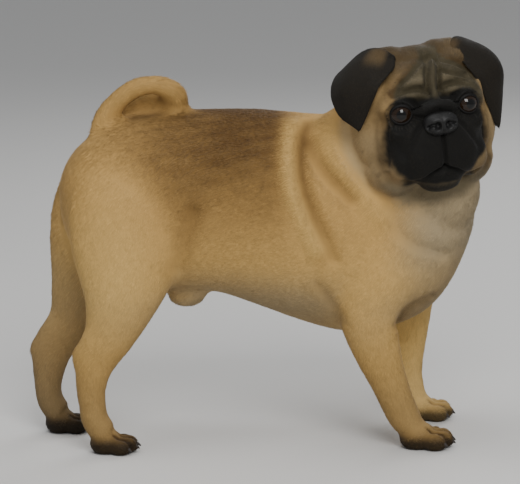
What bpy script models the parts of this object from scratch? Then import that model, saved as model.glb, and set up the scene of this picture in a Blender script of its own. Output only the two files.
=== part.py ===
"""A life-size pug, standing, with its body in profile and its face turned to its right side.

Metres, +Z up. +X runs from the tail to the chest, +Y to the dog's left. The whole body is first modelled
from lofted and round forms, merged by a voxel remesh, smoothed and folded, and is then parted by thin cuts.
"""

import math

import bmesh
import bpy
import numpy as np
from mathutils import Matrix, Vector

# Widths that every node shares
GAP = 0.0003
BODY_VOXEL = 0.0034
HEAD_VOXEL = 0.0021
BODY_TRIANGLES = 5400
HEAD_TRIANGLES = 10000

# The spine seen from above: y = SPINE_SLOPE * x + SPINE_BEND * x * x, hollow on the dog's right
SPINE_SLOPE = -0.037
SPINE_BEND = -0.43

# Torso rings: x, top, bottom, half width, height of the widest point
TORSO = (
    (-0.1640, 0.230, 0.206, 0.012, 0.218),
    (-0.1590, 0.245, 0.186, 0.031, 0.214),
    (-0.1480, 0.261, 0.164, 0.045, 0.210),
    (-0.1300, 0.275, 0.148, 0.056, 0.208),
    (-0.1050, 0.286, 0.140, 0.062, 0.210),
    (-0.0700, 0.291, 0.136, 0.064, 0.210),
    (-0.0300, 0.292, 0.132, 0.064, 0.206),
    (0.0100, 0.291, 0.118, 0.068, 0.202),
    (0.0450, 0.287, 0.105, 0.072, 0.196),
    (0.0800, 0.284, 0.096, 0.074, 0.188),
    (0.1100, 0.281, 0.097, 0.073, 0.188),
    (0.1380, 0.273, 0.106, 0.068, 0.190),
    (0.1580, 0.261, 0.119, 0.060, 0.194),
    (0.1740, 0.247, 0.140, 0.050, 0.197),
    (0.1860, 0.232, 0.166, 0.036, 0.201),
    (0.1935, 0.219, 0.189, 0.015, 0.204),
)

# Tubes run from root to end: x, y, z, radius front to back, radius across
NECK = (
    (0.060, -0.006, 0.210, 0.060, 0.062),
    (0.092, -0.012, 0.230, 0.061, 0.063),
    (0.120, -0.024, 0.254, 0.058, 0.060),
    (0.137, -0.040, 0.278, 0.052, 0.056),
    (0.144, -0.050, 0.296, 0.040, 0.046),
)
FORE_NEAR = (
    (0.118, -0.044, 0.230, 0.034, 0.022),
    (0.120, -0.049, 0.203, 0.045, 0.030),
    (0.110, -0.055, 0.158, 0.040, 0.030),
    (0.100, -0.058, 0.119, 0.0275, 0.0235),
    (0.1075, -0.057, 0.084, 0.0212, 0.0185),
    (0.1155, -0.055, 0.062, 0.0176, 0.0165),
    (0.1225, -0.053, 0.043, 0.0157, 0.0155),
    (0.1290, -0.051, 0.028, 0.0146, 0.0150),
    (0.1360, -0.050, 0.017, 0.0120, 0.0145),
)
FORE_FAR = (
    (0.124, 0.030, 0.230, 0.034, 0.022),
    (0.130, 0.036, 0.203, 0.045, 0.030),
    (0.1330, 0.043, 0.158, 0.038, 0.029),
    (0.1380, 0.048, 0.119, 0.0270, 0.0230),
    (0.1380, 0.050, 0.084, 0.0208, 0.0183),
    (0.1370, 0.051, 0.062, 0.0178, 0.0165),
    (0.1368, 0.052, 0.043, 0.0157, 0.0153),
    (0.1395, 0.052, 0.028, 0.0146, 0.0150),
    (0.1450, 0.052, 0.017, 0.0120, 0.0145),
)
HIND_NEAR = (
    (-0.098, -0.032, 0.248, 0.034, 0.020),
    (-0.104, -0.037, 0.220, 0.050, 0.029),
    (-0.105, -0.040, 0.183, 0.050, 0.031),
    (-0.108, -0.043, 0.153, 0.042, 0.028),
    (-0.1140, -0.044, 0.126, 0.0310, 0.023),
    (-0.1230, -0.044, 0.103, 0.0235, 0.0180),
    (-0.1345, -0.044, 0.084, 0.0200, 0.0155),
    (-0.1395, -0.044, 0.063, 0.0152, 0.0140),
    (-0.1395, -0.043, 0.045, 0.0128, 0.0130),
    (-0.1375, -0.042, 0.030, 0.0124, 0.0140),
    (-0.1310, -0.041, 0.018, 0.0120, 0.0145),
)
HIND_FAR = (
    (-0.102, 0.026, 0.248, 0.034, 0.020),
    (-0.114, 0.030, 0.220, 0.051, 0.029),
    (-0.125, 0.033, 0.183, 0.052, 0.031),
    (-0.137, 0.036, 0.153, 0.042, 0.028),
    (-0.1490, 0.038, 0.126, 0.0290, 0.023),
    (-0.1600, 0.039, 0.101, 0.0225, 0.0180),
    (-0.1775, 0.039, 0.077, 0.0198, 0.0155),
    (-0.1825, 0.039, 0.055, 0.0154, 0.0140),
    (-0.1835, 0.038, 0.040, 0.0128, 0.0130),
    (-0.1815, 0.038, 0.028, 0.0124, 0.0140),
    (-0.1750, 0.037, 0.018, 0.0120, 0.0145),
)
TAIL = (
    (-0.1140, -0.0030, 0.2540, 0.0158, 0.0150),
    (-0.1240, -0.0030, 0.2700, 0.0132, 0.0130),
    (-0.1215, -0.0045, 0.2870, 0.0114, 0.0112),
    (-0.1105, -0.0080, 0.3010, 0.0104, 0.0106),
    (-0.0955, -0.0110, 0.3112, 0.0100, 0.0104),
    (-0.0785, -0.0110, 0.3140, 0.0100, 0.0104),
    (-0.0655, -0.0060, 0.3085, 0.0100, 0.0102),
    (-0.0620, 0.0045, 0.3035, 0.0098, 0.0100),
    (-0.0680, 0.0145, 0.3015, 0.0096, 0.0096),
    (-0.0790, 0.0205, 0.2998, 0.0094, 0.0094),
    (-0.0900, 0.0218, 0.2988, 0.0090, 0.0090),
    (-0.0995, 0.0208, 0.2984, 0.0078, 0.0078),
    (-0.1055, 0.0192, 0.2982, 0.0050, 0.0050),
)
TAIL_CUT = ((-0.1232, -0.003, 0.2853), (0.05, -0.05, 1.0))

# The head: where its own origin is, and how it is turned. Its x looks forwards, y to its left, z up
HEAD_AT = (0.1450, -0.0566, 0.2975)
HEAD_YAW = -76.5
HEAD_PITCH = 0.0
HEAD_ROLL = 6.0

EYE = (0.0395, 0.0278, 0.0020)
EYE_RADIUS = 0.0105
EYE_TURN = 13.0
LID = 0.0017
LID_OPENING = (0.0090, 0.0078)
# Rings of skin about each eye: distance from its axis, width, height (below 0 is a groove)
LID_RINGS = ((0.0100, 0.0022, 0.0010), (0.0140, 0.0022, -0.0012))
NOSE = (0.0575, 0.0, -0.0085)
NOSE_RADII = (0.0085, 0.0140, 0.0094)
NOSE_SQUARENESS = 2.5
# A nostril's pit and slit from the nose's own centre: radius, points
NOSTRIL = (
    (0.0026, ((0.0125, 0.0048, -0.0008), (0.0085, 0.0049, -0.0006), (0.0045, 0.0050, -0.0004))),
    (0.0013, ((0.0084, 0.0052, -0.0002), (0.0078, 0.0078, 0.0004), (0.0068, 0.0102, -0.0002), (0.0050, 0.0128, -0.0016))),
)

# Round forms of the head in its own frame: centre, radii, squareness (2 is an ellipsoid). Those off the middle are
# repeated on the right
HEAD_BALLS = (
    ((-0.012, 0.000, -0.001), (0.050, 0.056, 0.049), 2.0),
    ((0.016, 0.000, 0.012), (0.0275, 0.0440, 0.0310), 2.3),
    ((0.0305, 0.0290, 0.0030), (0.0195, 0.0182, 0.0205), 2.0),
    ((0.0360, 0.0300, -0.0120), (0.0150, 0.0150, 0.0120), 2.0),
    ((0.0040, 0.0300, 0.0280), (0.0220, 0.0120, 0.0140), 2.0),
    ((0.005, 0.036, -0.018), (0.035, 0.026, 0.038), 2.0),
    ((0.005, 0.030, -0.046), (0.031, 0.026, 0.027), 2.0),
    ((0.037, 0.000, -0.029), (0.0245, 0.0360, 0.0310), 2.5),
    ((0.0435, 0.0150, -0.0350), (0.0175, 0.0185, 0.0205), 2.3),
    ((0.034, 0.028, -0.040), (0.020, 0.016, 0.020), 2.0),
    ((0.0360, 0.000, -0.0570), (0.0160, 0.0190, 0.0120), 2.2),
    ((0.050, 0.000, -0.008), (0.0120, 0.018, 0.018), 2.2),
    ((0.010, 0.0400, 0.0090), (0.0240, 0.0135, 0.0220), 2.0),
)
# The loose skin of the throat, in world metres
THROAT = ((0.160, -0.034, 0.224), (0.039, 0.046, 0.046))
SHEATH = ((-0.0555, -0.005, 0.1315), (0.0185, 0.0130, 0.0140))
HOCKS = ((-0.1470, -0.0440, 0.0855), (-0.1900, 0.0390, 0.0760))
HOCK_RADII = (0.0105, 0.0100, 0.0125)

# Rolls of skin on the face, in the head's frame: radius, then points. All are repeated on the right
HEAD_ROLLS = (
    (0.0060, ((0.0545, 0.000, 0.0050), (0.0520, 0.011, 0.0035), (0.0490, 0.020, -0.0060), (0.0450, 0.027, -0.0160),
              (0.0400, 0.033, -0.0270), (0.0330, 0.038, -0.0380))),
    (0.0055, ((0.0390, 0.007, 0.0140), (0.0390, 0.018, 0.0165), (0.0350, 0.030, 0.0165), (0.0280, 0.039, 0.0110))),
    (0.0060, ((0.0440, 0.000, 0.0060), (0.0440, 0.000, 0.0120))),
    (0.0055, ((0.0270, 0.047, -0.0080), (0.0250, 0.050, -0.0240), (0.0200, 0.049, -0.0400))),
)

# Creases of the face in the head's frame: width, height (below 0 is a groove), points
HEAD_CREASES = (
    (0.0026, -0.0036, ((0.046, 0.0045, 0.012), (0.044, 0.0065, 0.021), (0.038, 0.0065, 0.031), (0.028, 0.0050, 0.041))),
    (0.0040, 0.0022, ((0.047, 0.000, 0.014), (0.042, 0.000, 0.028), (0.030, 0.000, 0.040))),
    (0.0024, -0.0032, ((0.045, 0.008, 0.019), (0.042, 0.020, 0.0215), (0.036, 0.031, 0.020), (0.029, 0.039, 0.015))),
    (0.0036, 0.0020, ((0.042, 0.012, 0.026), (0.036, 0.024, 0.0275), (0.028, 0.034, 0.025))),
    (0.0026, -0.0028, ((0.036, 0.010, 0.037), (0.034, 0.019, 0.033), (0.028, 0.028, 0.030))),
    (0.0026, -0.0026, ((0.020, 0.007, 0.046), (0.020, 0.018, 0.042), (0.018, 0.028, 0.036), (0.012, 0.038, 0.028))),
    (0.0024, -0.0036, ((0.061, 0.000, 0.0020), (0.058, 0.010, -0.0010), (0.054, 0.018, -0.0090),
                       (0.050, 0.025, -0.0210), (0.045, 0.031, -0.0330))),
    (0.0018, -0.0030, ((0.062, 0.000, -0.017), (0.062, 0.000, -0.030), (0.060, 0.000, -0.046))),
    (0.0022, -0.0044, ((0.060, 0.000, -0.046), (0.060, 0.009, -0.0500), (0.056, 0.019, -0.0560),
                       (0.047, 0.029, -0.0570), (0.034, 0.037, -0.0500))),
    (0.0036, -0.0028, ((0.034, 0.042, 0.000), (0.033, 0.044, -0.016), (0.032, 0.042, -0.030), (0.028, 0.042, -0.044))),
)

# Folds of the body as seen from the side: width, height, points in x and z
BODY_CREASES = (
    (0.0075, 0.0026, ((0.0551, 0.2874), (0.0458, 0.2853), (0.0394, 0.2765), (0.0368, 0.2568), (0.0374, 0.2366),
                      (0.0419, 0.2158), (0.0497, 0.1951), (0.0580, 0.1760))),
    (0.0058, -0.0034, ((0.0620, 0.2880), (0.0530, 0.2720), (0.0521, 0.2559), (0.0508, 0.2416), (0.0524, 0.2271),
                       (0.0582, 0.2104), (0.0659, 0.1937), (0.0740, 0.1740), (0.0800, 0.1580))),
    (0.0090, 0.0028, ((0.0720, 0.2806), (0.0697, 0.2683), (0.0754, 0.2517), (0.0872, 0.2351), (0.0990, 0.2222),
                      (0.1109, 0.2054))),
    (0.0048, -0.0020, ((0.0600, 0.2470), (0.0655, 0.2379), (0.0749, 0.2283), (0.0869, 0.2190), (0.0968, 0.2110))),
    (0.0052, -0.0024, ((0.0905, 0.2870), (0.0920, 0.2684), (0.1075, 0.2392), (0.1211, 0.2101), (0.1268, 0.1922),
                       (0.1428, 0.1795), (0.1640, 0.1710))),
    (0.0060, -0.0022, ((-0.046, 0.212), (-0.051, 0.192), (-0.062, 0.163))),
    (0.0035, -0.0024, ((0.124, 0.110), (0.1325, 0.1225), (0.1455, 0.1285), (0.156, 0.132))),
)

# The ears' sheets in the head's frame: each row runs front to back, and the rows run from root to tip. The left ear
# hangs longer and lower. The right ear is given as its mirror image
EAR_ROOT = ((0.0140, 0.0190, 0.0300), (0.0040, 0.0250, 0.0310), (-0.0080, 0.0320, 0.0290), (-0.0180, 0.0370, 0.0220))
EAR_ROWS = {
    1: (
        EAR_ROOT,
        ((0.0200, 0.0230, 0.0425), (0.0070, 0.0300, 0.0480), (-0.0080, 0.0395, 0.0465), (-0.0210, 0.0470, 0.0370)),
        ((0.0262, 0.0270, 0.0402), (0.0166, 0.0382, 0.0455), (0.0020, 0.0520, 0.0430), (-0.0130, 0.0590, 0.0340)),
        ((0.0316, 0.0322, 0.0330), (0.0258, 0.0445, 0.0355), (0.0120, 0.0620, 0.0335), (-0.0060, 0.0690, 0.0240)),
        ((0.0337, 0.0399, 0.0226), (0.0302, 0.0508, 0.0220), (0.0200, 0.0665, 0.0205), (0.0040, 0.0735, 0.0140)),
        ((0.0331, 0.0484, 0.0094), (0.0302, 0.0558, 0.0075), (0.0220, 0.0665, 0.0050), (0.0100, 0.0720, 0.0030)),
        ((0.0325, 0.0528, -0.0053), (0.0302, 0.0585, -0.0080), (0.0248, 0.0655, -0.0090), (0.0175, 0.0688, -0.0090)),
        ((0.0286, 0.0576, -0.0215), (0.0281, 0.0602, -0.0232), (0.0268, 0.0624, -0.0245), (0.0252, 0.0632, -0.0240)),
    ),
    -1: (
        EAR_ROOT,
        ((0.0200, 0.0220, 0.0440), (0.0070, 0.0290, 0.0495), (-0.0080, 0.0380, 0.0480), (-0.0210, 0.0465, 0.0385)),
        ((0.0280, 0.0260, 0.0410), (0.0170, 0.0390, 0.0475), (0.0020, 0.0520, 0.0435), (-0.0130, 0.0600, 0.0340)),
        ((0.0350, 0.0330, 0.0340), (0.0285, 0.0460, 0.0370), (0.0140, 0.0610, 0.0350), (-0.0050, 0.0685, 0.0280)),
        ((0.0365, 0.0400, 0.0265), (0.0325, 0.0510, 0.0270), (0.0210, 0.0660, 0.0255), (0.0040, 0.0730, 0.0195)),
        ((0.0350, 0.0465, 0.0170), (0.0330, 0.0555, 0.0150), (0.0250, 0.0660, 0.0140), (0.0120, 0.0725, 0.0100)),
        ((0.0320, 0.0530, 0.0060), (0.0305, 0.0580, 0.0040), (0.0260, 0.0645, 0.0030), (0.0180, 0.0695, 0.0030)),
        ((0.0275, 0.0590, -0.0065), (0.0270, 0.0605, -0.0080), (0.0260, 0.0625, -0.0080), (0.0245, 0.0635, -0.0070)),
    ),
}
EAR_THICKNESS = 0.0028

# Paws: centre of the sole, heading in degrees from +X, length scale
PAWS = {
    "foreleg_right": ((0.1425, -0.0500), -5.0, 0.98),
    "foreleg_left": ((0.1495, 0.0520), 4.0, 0.98),
    "hindleg_right": ((-0.1265, -0.0410), -5.0, 0.88),
    "hindleg_left": ((-0.1710, 0.0375), 4.0, 0.88),
}
TOES = ((0.0130, -0.0145, 0.0070), (0.0195, -0.0050, 0.0080), (0.0195, 0.0050, 0.0080), (0.0130, 0.0145, 0.0070))
TOE_RADII = (0.0100, 0.0066, 0.0088)
PAW_RADII = (0.0170, 0.0185, 0.0140)
PAW_HEIGHT = 0.0098
CLAW_LENGTH = 0.0078
CLAW_RADIUS = 0.0020

LEGS = {
    "foreleg_right": FORE_NEAR,
    "foreleg_left": FORE_FAR,
    "hindleg_right": HIND_NEAR,
    "hindleg_left": HIND_FAR,
}

FAWN = (0.58, 0.40, 0.22)
DARK_FAWN = (0.40, 0.26, 0.13)
BLACK = (0.012, 0.011, 0.010)
BROWN_EYE = (0.05, 0.022, 0.010)


def clear_scene():
    """Removes what the scene holds at the start."""
    for thing in list(bpy.data.objects):
        bpy.data.objects.remove(thing, do_unlink=True)


def finish_of(name, colour, roughness):
    """A plain material with that colour and roughness."""
    material = bpy.data.materials.new(name)
    material.use_nodes = True
    shader = material.node_tree.nodes["Principled BSDF"]
    shader.inputs["Base Color"].default_value = (*colour, 1.0)
    shader.inputs["Roughness"].default_value = roughness
    return material


def smooth_rows(rows, steps):
    """Rows of numbers, with Catmull-Rom rows put between them, steps to a span."""
    rows = np.array(rows, float)
    ends = np.vstack([2 * rows[0] - rows[1], rows, 2 * rows[-1] - rows[-2]])
    made = []
    for i in range(1, len(ends) - 2):
        a, b, c, d = ends[i - 1 : i + 3]
        for t in np.arange(steps) / steps:
            made.append(
                0.5 * (2 * b + (c - a) * t + (2 * a - 5 * b + 4 * c - d) * t * t + (3 * b - a - 3 * c + d) * t**3)
            )
    made.append(rows[-1])
    return np.array(made)


def loft(rings):
    """A closed bmesh through rings of points, all with the same count, its ends closed by a fan."""
    shape = bmesh.new()
    made = [[shape.verts.new(p) for p in ring] for ring in rings]
    count = len(made[0])
    for near, far in zip(made, made[1:]):
        for i in range(count):
            j = (i + 1) % count
            shape.faces.new((near[i], near[j], far[j], far[i]))
    for ring in (made[0], made[-1]):
        middle = shape.verts.new(sum((v.co for v in ring), Vector()) / count)
        for i in range(count):
            shape.faces.new((ring[i], ring[(i + 1) % count], middle))
    bmesh.ops.recalc_face_normals(shape, faces=shape.faces)
    return shape


def spine_at(x):
    """The spine's y at x, and the direction across it."""
    y = SPINE_SLOPE * x + SPINE_BEND * x * x
    slope = SPINE_SLOPE + 2 * SPINE_BEND * x
    across = Vector((-slope, 1.0, 0.0)).normalized()
    return y, across


def torso_form(around=32):
    """The trunk: rings of two half ovals, upper and lower, set square to the spine."""
    rings = []
    for x, top, bottom, half, widest in smooth_rows(TORSO, 3):
        y, across = spine_at(x)
        ring = []
        for k in range(around):
            turn = 2 * math.pi * k / around
            side = math.copysign(abs(math.cos(turn)) ** 0.88, math.cos(turn))
            rise = math.copysign(abs(math.sin(turn)) ** 0.92, math.sin(turn))
            height = (top - widest) if rise > 0 else (widest - bottom)
            ring.append(Vector((x, y, widest + rise * height)) + across * (side * half))
        rings.append(ring)
    return loft(rings)


def tube_form(stations, around=20, steps=4, front=(1.0, 0.0, 0.0)):
    """A tube of oval rings along its stations. The first radius lies towards front, the second across it."""
    rows = smooth_rows(stations, steps)
    centres = rows[:, :3]
    runs = np.gradient(centres, axis=0)
    rings = []
    for centre, run, row in zip(centres, runs, rows):
        run = Vector(run).normalized()
        along = Vector(front) - run * run.dot(Vector(front))
        if along.length < 0.25:
            along = Vector((0.0, 0.0, 1.0)) - run * run.z
        along.normalize()
        across = run.cross(along)
        turns = [2 * math.pi * k / around for k in range(around)]
        rings.append(
            [Vector(centre) + along * (row[3] * math.cos(t)) + across * (row[4] * math.sin(t)) for t in turns]
        )
    return loft(rings)


def tail_form(stations=TAIL, around=12, steps=3):
    """The curled tail: a tube whose rings keep their turn from one to the next."""
    rows = smooth_rows(stations, steps)
    runs = np.gradient(rows[:, :3], axis=0)
    rings = []
    side = Vector((0.0, 1.0, 0.0))
    for row, run in zip(rows, runs):
        run = Vector(run).normalized()
        side = (side - run * side.dot(run)).normalized()
        other = run.cross(side)
        turns = [2 * math.pi * k / around for k in range(around)]
        rings.append(
            [Vector(row[:3]) + other * (row[3] * math.cos(t)) + side * (row[4] * math.sin(t)) for t in turns]
        )
    return loft(rings)


def ball_form(centre, radii, frame=None, level=3, power=2.0):
    """An ellipsoid, squarer where its power is above 2, in the frame of a matrix where one is given."""
    shape = bmesh.new()
    bmesh.ops.create_icosphere(shape, subdivisions=level, radius=1.0)
    for vertex in shape.verts:
        vertex.co /= sum(abs(c) ** power for c in vertex.co) ** (1.0 / power)
    place = Matrix.Translation(centre) @ Matrix.Diagonal((*radii, 1.0))
    bmesh.ops.transform(shape, matrix=place if frame is None else frame @ place, verts=shape.verts)
    return shape


def head_frame():
    """The head's place and turn as a matrix."""
    turn = (
        Matrix.Rotation(math.radians(HEAD_YAW), 4, "Z")
        @ Matrix.Rotation(math.radians(HEAD_PITCH), 4, "Y")
        @ Matrix.Rotation(math.radians(HEAD_ROLL), 4, "X")
    )
    return Matrix.Translation(HEAD_AT) @ turn


def both_sides(point):
    """A point of the head and its mirror image, or the point alone where it is on the middle."""
    x, y, z = point
    return [(x, y, z)] if abs(y) < 1e-6 else [(x, y, z), (x, -y, z)]


def eye_frame(side):
    """The frame of an eye, whose x looks out. side is 1 for the left eye and -1 for the right."""
    place = Matrix.Translation((EYE[0], side * EYE[1], EYE[2]))
    return head_frame() @ place @ Matrix.Rotation(math.radians(side * EYE_TURN), 4, "Z")


def head_forms():
    """The head's round forms, rolls and lids as a list of closed bmeshes."""
    frame = head_frame()
    forms = [ball_form(place, radii, frame, power=power) for centre, radii, power in HEAD_BALLS for place in both_sides(centre)]
    for radius, points in HEAD_ROLLS:
        for side in (1, -1):
            stations = [(*(frame @ Vector((x, side * y, z))), radius, radius) for x, y, z in points]
            forms.append(tube_form(stations, around=10, steps=4, front=frame.to_3x3() @ Vector((0.4, 0.0, 1.0))))
            for end in (points[0], points[-1]):
                forms.append(ball_form((end[0], side * end[1], end[2]), (radius,) * 3, frame, level=2))
    for side in (1, -1):
        forms.append(ball_form((0.0, 0.0, 0.0), (EYE_RADIUS + LID,) * 3, eye_frame(side)))
    return forms


def paw_forms(name):
    """One paw: a rounded body and four toes."""
    (x, y), heading, size = PAWS[name]
    frame = Matrix.Translation((x, y, 0.0)) @ Matrix.Rotation(math.radians(heading), 4, "Z")
    forms = [ball_form((-0.002 * size, 0.0, PAW_HEIGHT * size), [r * size for r in PAW_RADII], frame)]
    for ahead, across, up in TOES:
        toe = Matrix.Translation((ahead * size, across * size, up * size)) @ Matrix.Rotation(0.25, 4, "Y")
        forms.append(ball_form((0.0, 0.0, 0.0), [r * size for r in TOE_RADII], frame @ toe))
    return forms


def claw_forms(name):
    """The four claws of one paw: bent cones whose roots lie inside the toes."""
    (x, y), heading, size = PAWS[name]
    frame = Matrix.Translation((x, y, 0.0)) @ Matrix.Rotation(math.radians(heading), 4, "Z")
    forms = []
    for ahead, across, up in TOES:
        root = Vector(((ahead + 0.0052) * size, across * size * 1.03, up * size))
        stations = []
        for share, thick in ((0.0, 1.0), (0.35, 0.95), (0.7, 0.62), (1.0, 0.16)):
            reach = CLAW_LENGTH * size * share
            point = root + Vector((reach * 0.86, 0.0, -reach * (0.10 + 0.34 * share)))
            stations.append((*(frame @ point), CLAW_RADIUS * thick * size, CLAW_RADIUS * thick * size * 0.8))
        forms.append(tube_form(stations, around=6, steps=1, front=(0.0, 0.0, 1.0)))
    return forms


def object_of(name, shape):
    """A linked object from a bmesh, which is freed."""
    mesh = bpy.data.meshes.new(name)
    shape.to_mesh(mesh)
    shape.free()
    made = bpy.data.objects.new(name, mesh)
    bpy.context.scene.collection.objects.link(made)
    return made


def joined(name, forms):
    """One object that holds every form as a loose body."""
    whole = bmesh.new()
    for form in forms:
        held = bpy.data.meshes.new("held")
        form.to_mesh(held)
        form.free()
        whole.from_mesh(held)
        bpy.data.meshes.remove(held)
    return object_of(name, whole)


def settle(thing):
    """Applies the modifiers of an object."""
    graph = bpy.context.evaluated_depsgraph_get()
    mesh = bpy.data.meshes.new_from_object(thing.evaluated_get(graph))
    thing.modifiers.clear()
    old = thing.data
    thing.data = mesh
    bpy.data.meshes.remove(old)


def merged(name, forms, voxel):
    """The forms as one closed skin."""
    whole = joined(name, forms)
    remesh = whole.modifiers.new("merge", "REMESH")
    remesh.mode = "VOXEL"
    remesh.voxel_size = voxel
    remesh.adaptivity = 0.0
    settle(whole)
    return whole


def points_of(thing):
    """The vertices of an object as an array."""
    points = np.empty(len(thing.data.vertices) * 3, np.float32)
    thing.data.vertices.foreach_get("co", points)
    return points.reshape(-1, 3).astype(float)


def set_points(thing, points):
    """Moves the vertices of an object."""
    thing.data.vertices.foreach_set("co", points.astype(np.float32).ravel())
    thing.data.update()


def soften(thing, share, rounds):
    """Pulls each vertex towards its neighbours' middle, by a share that may differ from vertex to vertex."""
    ends = np.empty(len(thing.data.edges) * 2, np.int32)
    thing.data.edges.foreach_get("vertices", ends)
    a, b = ends.reshape(-1, 2).T
    points = points_of(thing)
    count = np.bincount(np.r_[a, b], minlength=len(points))[:, None]
    share = np.asarray(share, float).reshape(-1, 1)
    for _ in range(rounds):
        total = np.zeros_like(points)
        np.add.at(total, a, points[b])
        np.add.at(total, b, points[a])
        points += (total / count - points) * share
    set_points(thing, points)


def distance_to(points, line):
    """How far each point is from a line of straight runs."""
    line = np.array(line, float)
    best = np.full(len(points), np.inf)
    for start, end in zip(line, line[1:]):
        run = end - start
        along = np.clip((points - start) @ run / (run @ run), 0.0, 1.0)
        best = np.minimum(best, np.linalg.norm(points - start - along[:, None] * run, axis=1))
    return best


def crease_face(thing):
    """Raises and sinks the face along its creases."""
    frame = np.array(head_frame().inverted())
    points = points_of(thing)
    local = points @ frame[:3, :3].T + frame[:3, 3]
    local[:, 1] = np.abs(local[:, 1])
    rise = np.zeros(len(points))
    for width, height, line in HEAD_CREASES:
        away = distance_to(local, smooth_rows(line, 4))
        rise += height * np.exp(-((away / width) ** 2))
    for side in (1, -1):
        eye = np.array(eye_frame(side).inverted())
        near = points @ eye[:3, :3].T + eye[:3, 3]
        off_axis = np.hypot(near[:, 1], near[:, 2] * 1.12)
        for radius, width, height in LID_RINGS:
            rise += height * np.exp(-(((off_axis - radius) / width) ** 2)) * (near[:, 0] > 0)
    normals = np.empty(len(points) * 3, np.float32)
    thing.data.vertices.foreach_get("normal", normals)
    set_points(thing, points + normals.reshape(-1, 3) * rise[:, None])


def crease_body(thing):
    """Raises and sinks the flanks and shoulders along their folds."""
    points = points_of(thing)
    across = points[:, 1] - (SPINE_SLOPE * points[:, 0] + SPINE_BEND * points[:, 0] ** 2)
    flank = np.clip((np.abs(across) - 0.012) / 0.02, 0.0, 1.0) * (points[:, 2] > 0.13)
    rise = np.zeros(len(points))
    for width, height, line in BODY_CREASES:
        away = distance_to(points[:, [0, 2]], smooth_rows(line, 4))
        rise += height * np.exp(-((away / width) ** 2))
    normals = np.empty(len(points) * 3, np.float32)
    thing.data.vertices.foreach_get("normal", normals)
    set_points(thing, points + normals.reshape(-1, 3) * (rise * flank)[:, None])


def thinned(thing, triangles):
    """Reduces an object to about that many triangles."""
    count = sum(len(face.vertices) - 2 for face in thing.data.polygons)
    fewer = thing.modifiers.new("thin", "DECIMATE")
    fewer.ratio = min(1.0, triangles / count)
    fewer.use_collapse_triangulate = True
    settle(thing)


def keep_largest(thing):
    """Keeps the largest closed surface of an object."""
    shape = bmesh.new()
    shape.from_mesh(thing.data)
    left, groups = set(shape.verts), []
    while left:
        front = [left.pop()]
        group = []
        while front:
            vertex = front.pop()
            group.append(vertex)
            for edge in vertex.link_edges:
                other = edge.other_vert(vertex)
                if other in left:
                    left.remove(other)
                    front.append(other)
        groups.append(group)
    groups.sort(key=len)
    loose = [vertex for group in groups[:-1] for vertex in group]
    bmesh.ops.delete(shape, geom=loose, context="VERTS")
    shape.to_mesh(thing.data)
    shape.free()


def combine(thing, others, operation):
    """Applies one Boolean of an object with closed helper objects, which are then removed."""
    helpers = bpy.data.collections.new("helpers")
    for other in others:
        helpers.objects.link(other)
    change = thing.modifiers.new(operation.lower(), "BOOLEAN")
    change.operation = operation
    change.operand_type = "COLLECTION"
    change.collection = helpers
    change.solver = "EXACT"
    settle(thing)
    for other in others:
        bpy.data.objects.remove(other, do_unlink=True)
    bpy.data.collections.remove(helpers)


def copy_of(thing, name):
    """A copy of an object with a mesh of its own."""
    made = bpy.data.objects.new(name, thing.data.copy())
    bpy.context.scene.collection.objects.link(made)
    return made


def region(low, high, planes, frame=None, wider=0.0):
    """A closed convex block: a box, cut by planes given as a point and a normal that points out of it."""
    frame = frame or Matrix.Identity(4)
    middle = (Vector(low) + Vector(high)) / 2
    size = Vector(high) - Vector(low) + Vector((wider,) * 3) * 2
    shape = bmesh.new()
    bmesh.ops.create_cube(shape, size=1.0, matrix=Matrix.Translation(middle) @ Matrix.Diagonal((*size, 1.0)))
    for point, normal in planes:
        normal = Vector(normal).normalized()
        cut = bmesh.ops.bisect_plane(
            shape,
            geom=[*shape.verts, *shape.edges, *shape.faces],
            plane_co=Vector(point) + normal * wider,
            plane_no=normal,
            clear_outer=True,
        )
        rim = [e for e in cut["geom_cut"] if isinstance(e, bmesh.types.BMEdge)]
        bmesh.ops.contextual_create(shape, geom=rim)
    bmesh.ops.recalc_face_normals(shape, faces=shape.faces)
    bmesh.ops.triangulate(shape, faces=shape.faces)
    bmesh.ops.transform(shape, matrix=frame, verts=shape.verts)
    return shape


# Blocks that part the body: low corner, high corner, cutting planes
HEAD_REGION = (
    (-0.090, -0.095, -0.078),
    (0.100, 0.095, 0.100),
    (((-0.062, 0.0, 0.004), (-0.72, 0.0, -0.69)), ((0.0, -0.060, -0.020), (-0.35, -0.55, -0.75))),
)
NECK_REGION = (
    (0.040, -0.140, 0.150),
    (0.260, 0.120, 0.420),
    (((0.078, 0.0, 0.287), (-0.62, 0.0, -0.78)),),
)
LEG_REGIONS = {
    "foreleg_right": (
        (0.040, -0.130, -0.020),
        (0.215, -0.006, 0.210),
        (((0.100, -0.034, 0.108), (0.0, 0.62, 0.78)), ((0.100, -0.080, 0.150), (0.0, 0.0, 1.0))),
    ),
    "foreleg_left": (
        (0.050, -0.004, -0.020),
        (0.225, 0.120, 0.210),
        (((0.130, 0.022, 0.108), (0.0, -0.62, 0.78)), ((0.100, 0.080, 0.150), (0.0, 0.0, 1.0))),
    ),
    "hindleg_right": (
        (-0.220, -0.120, -0.020),
        (-0.040, -0.005, 0.300),
        (
            ((-0.058, -0.05, 0.165), (0.90, 0.25, 0.40)),
            ((-0.110, -0.06, 0.246), (0.10, 0.55, 0.83)),
            ((-0.110, -0.012, 0.150), (0.0, 0.97, 0.24)),
        ),
    ),
    "hindleg_left": (
        (-0.240, 0.000, -0.020),
        (-0.050, 0.110, 0.300),
        (
            ((-0.072, 0.05, 0.165), (0.90, -0.25, 0.40)),
            ((-0.118, 0.05, 0.246), (0.10, -0.55, 0.83)),
            ((-0.130, 0.004, 0.150), (0.0, -0.97, 0.24)),
        ),
    ),
}


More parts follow.
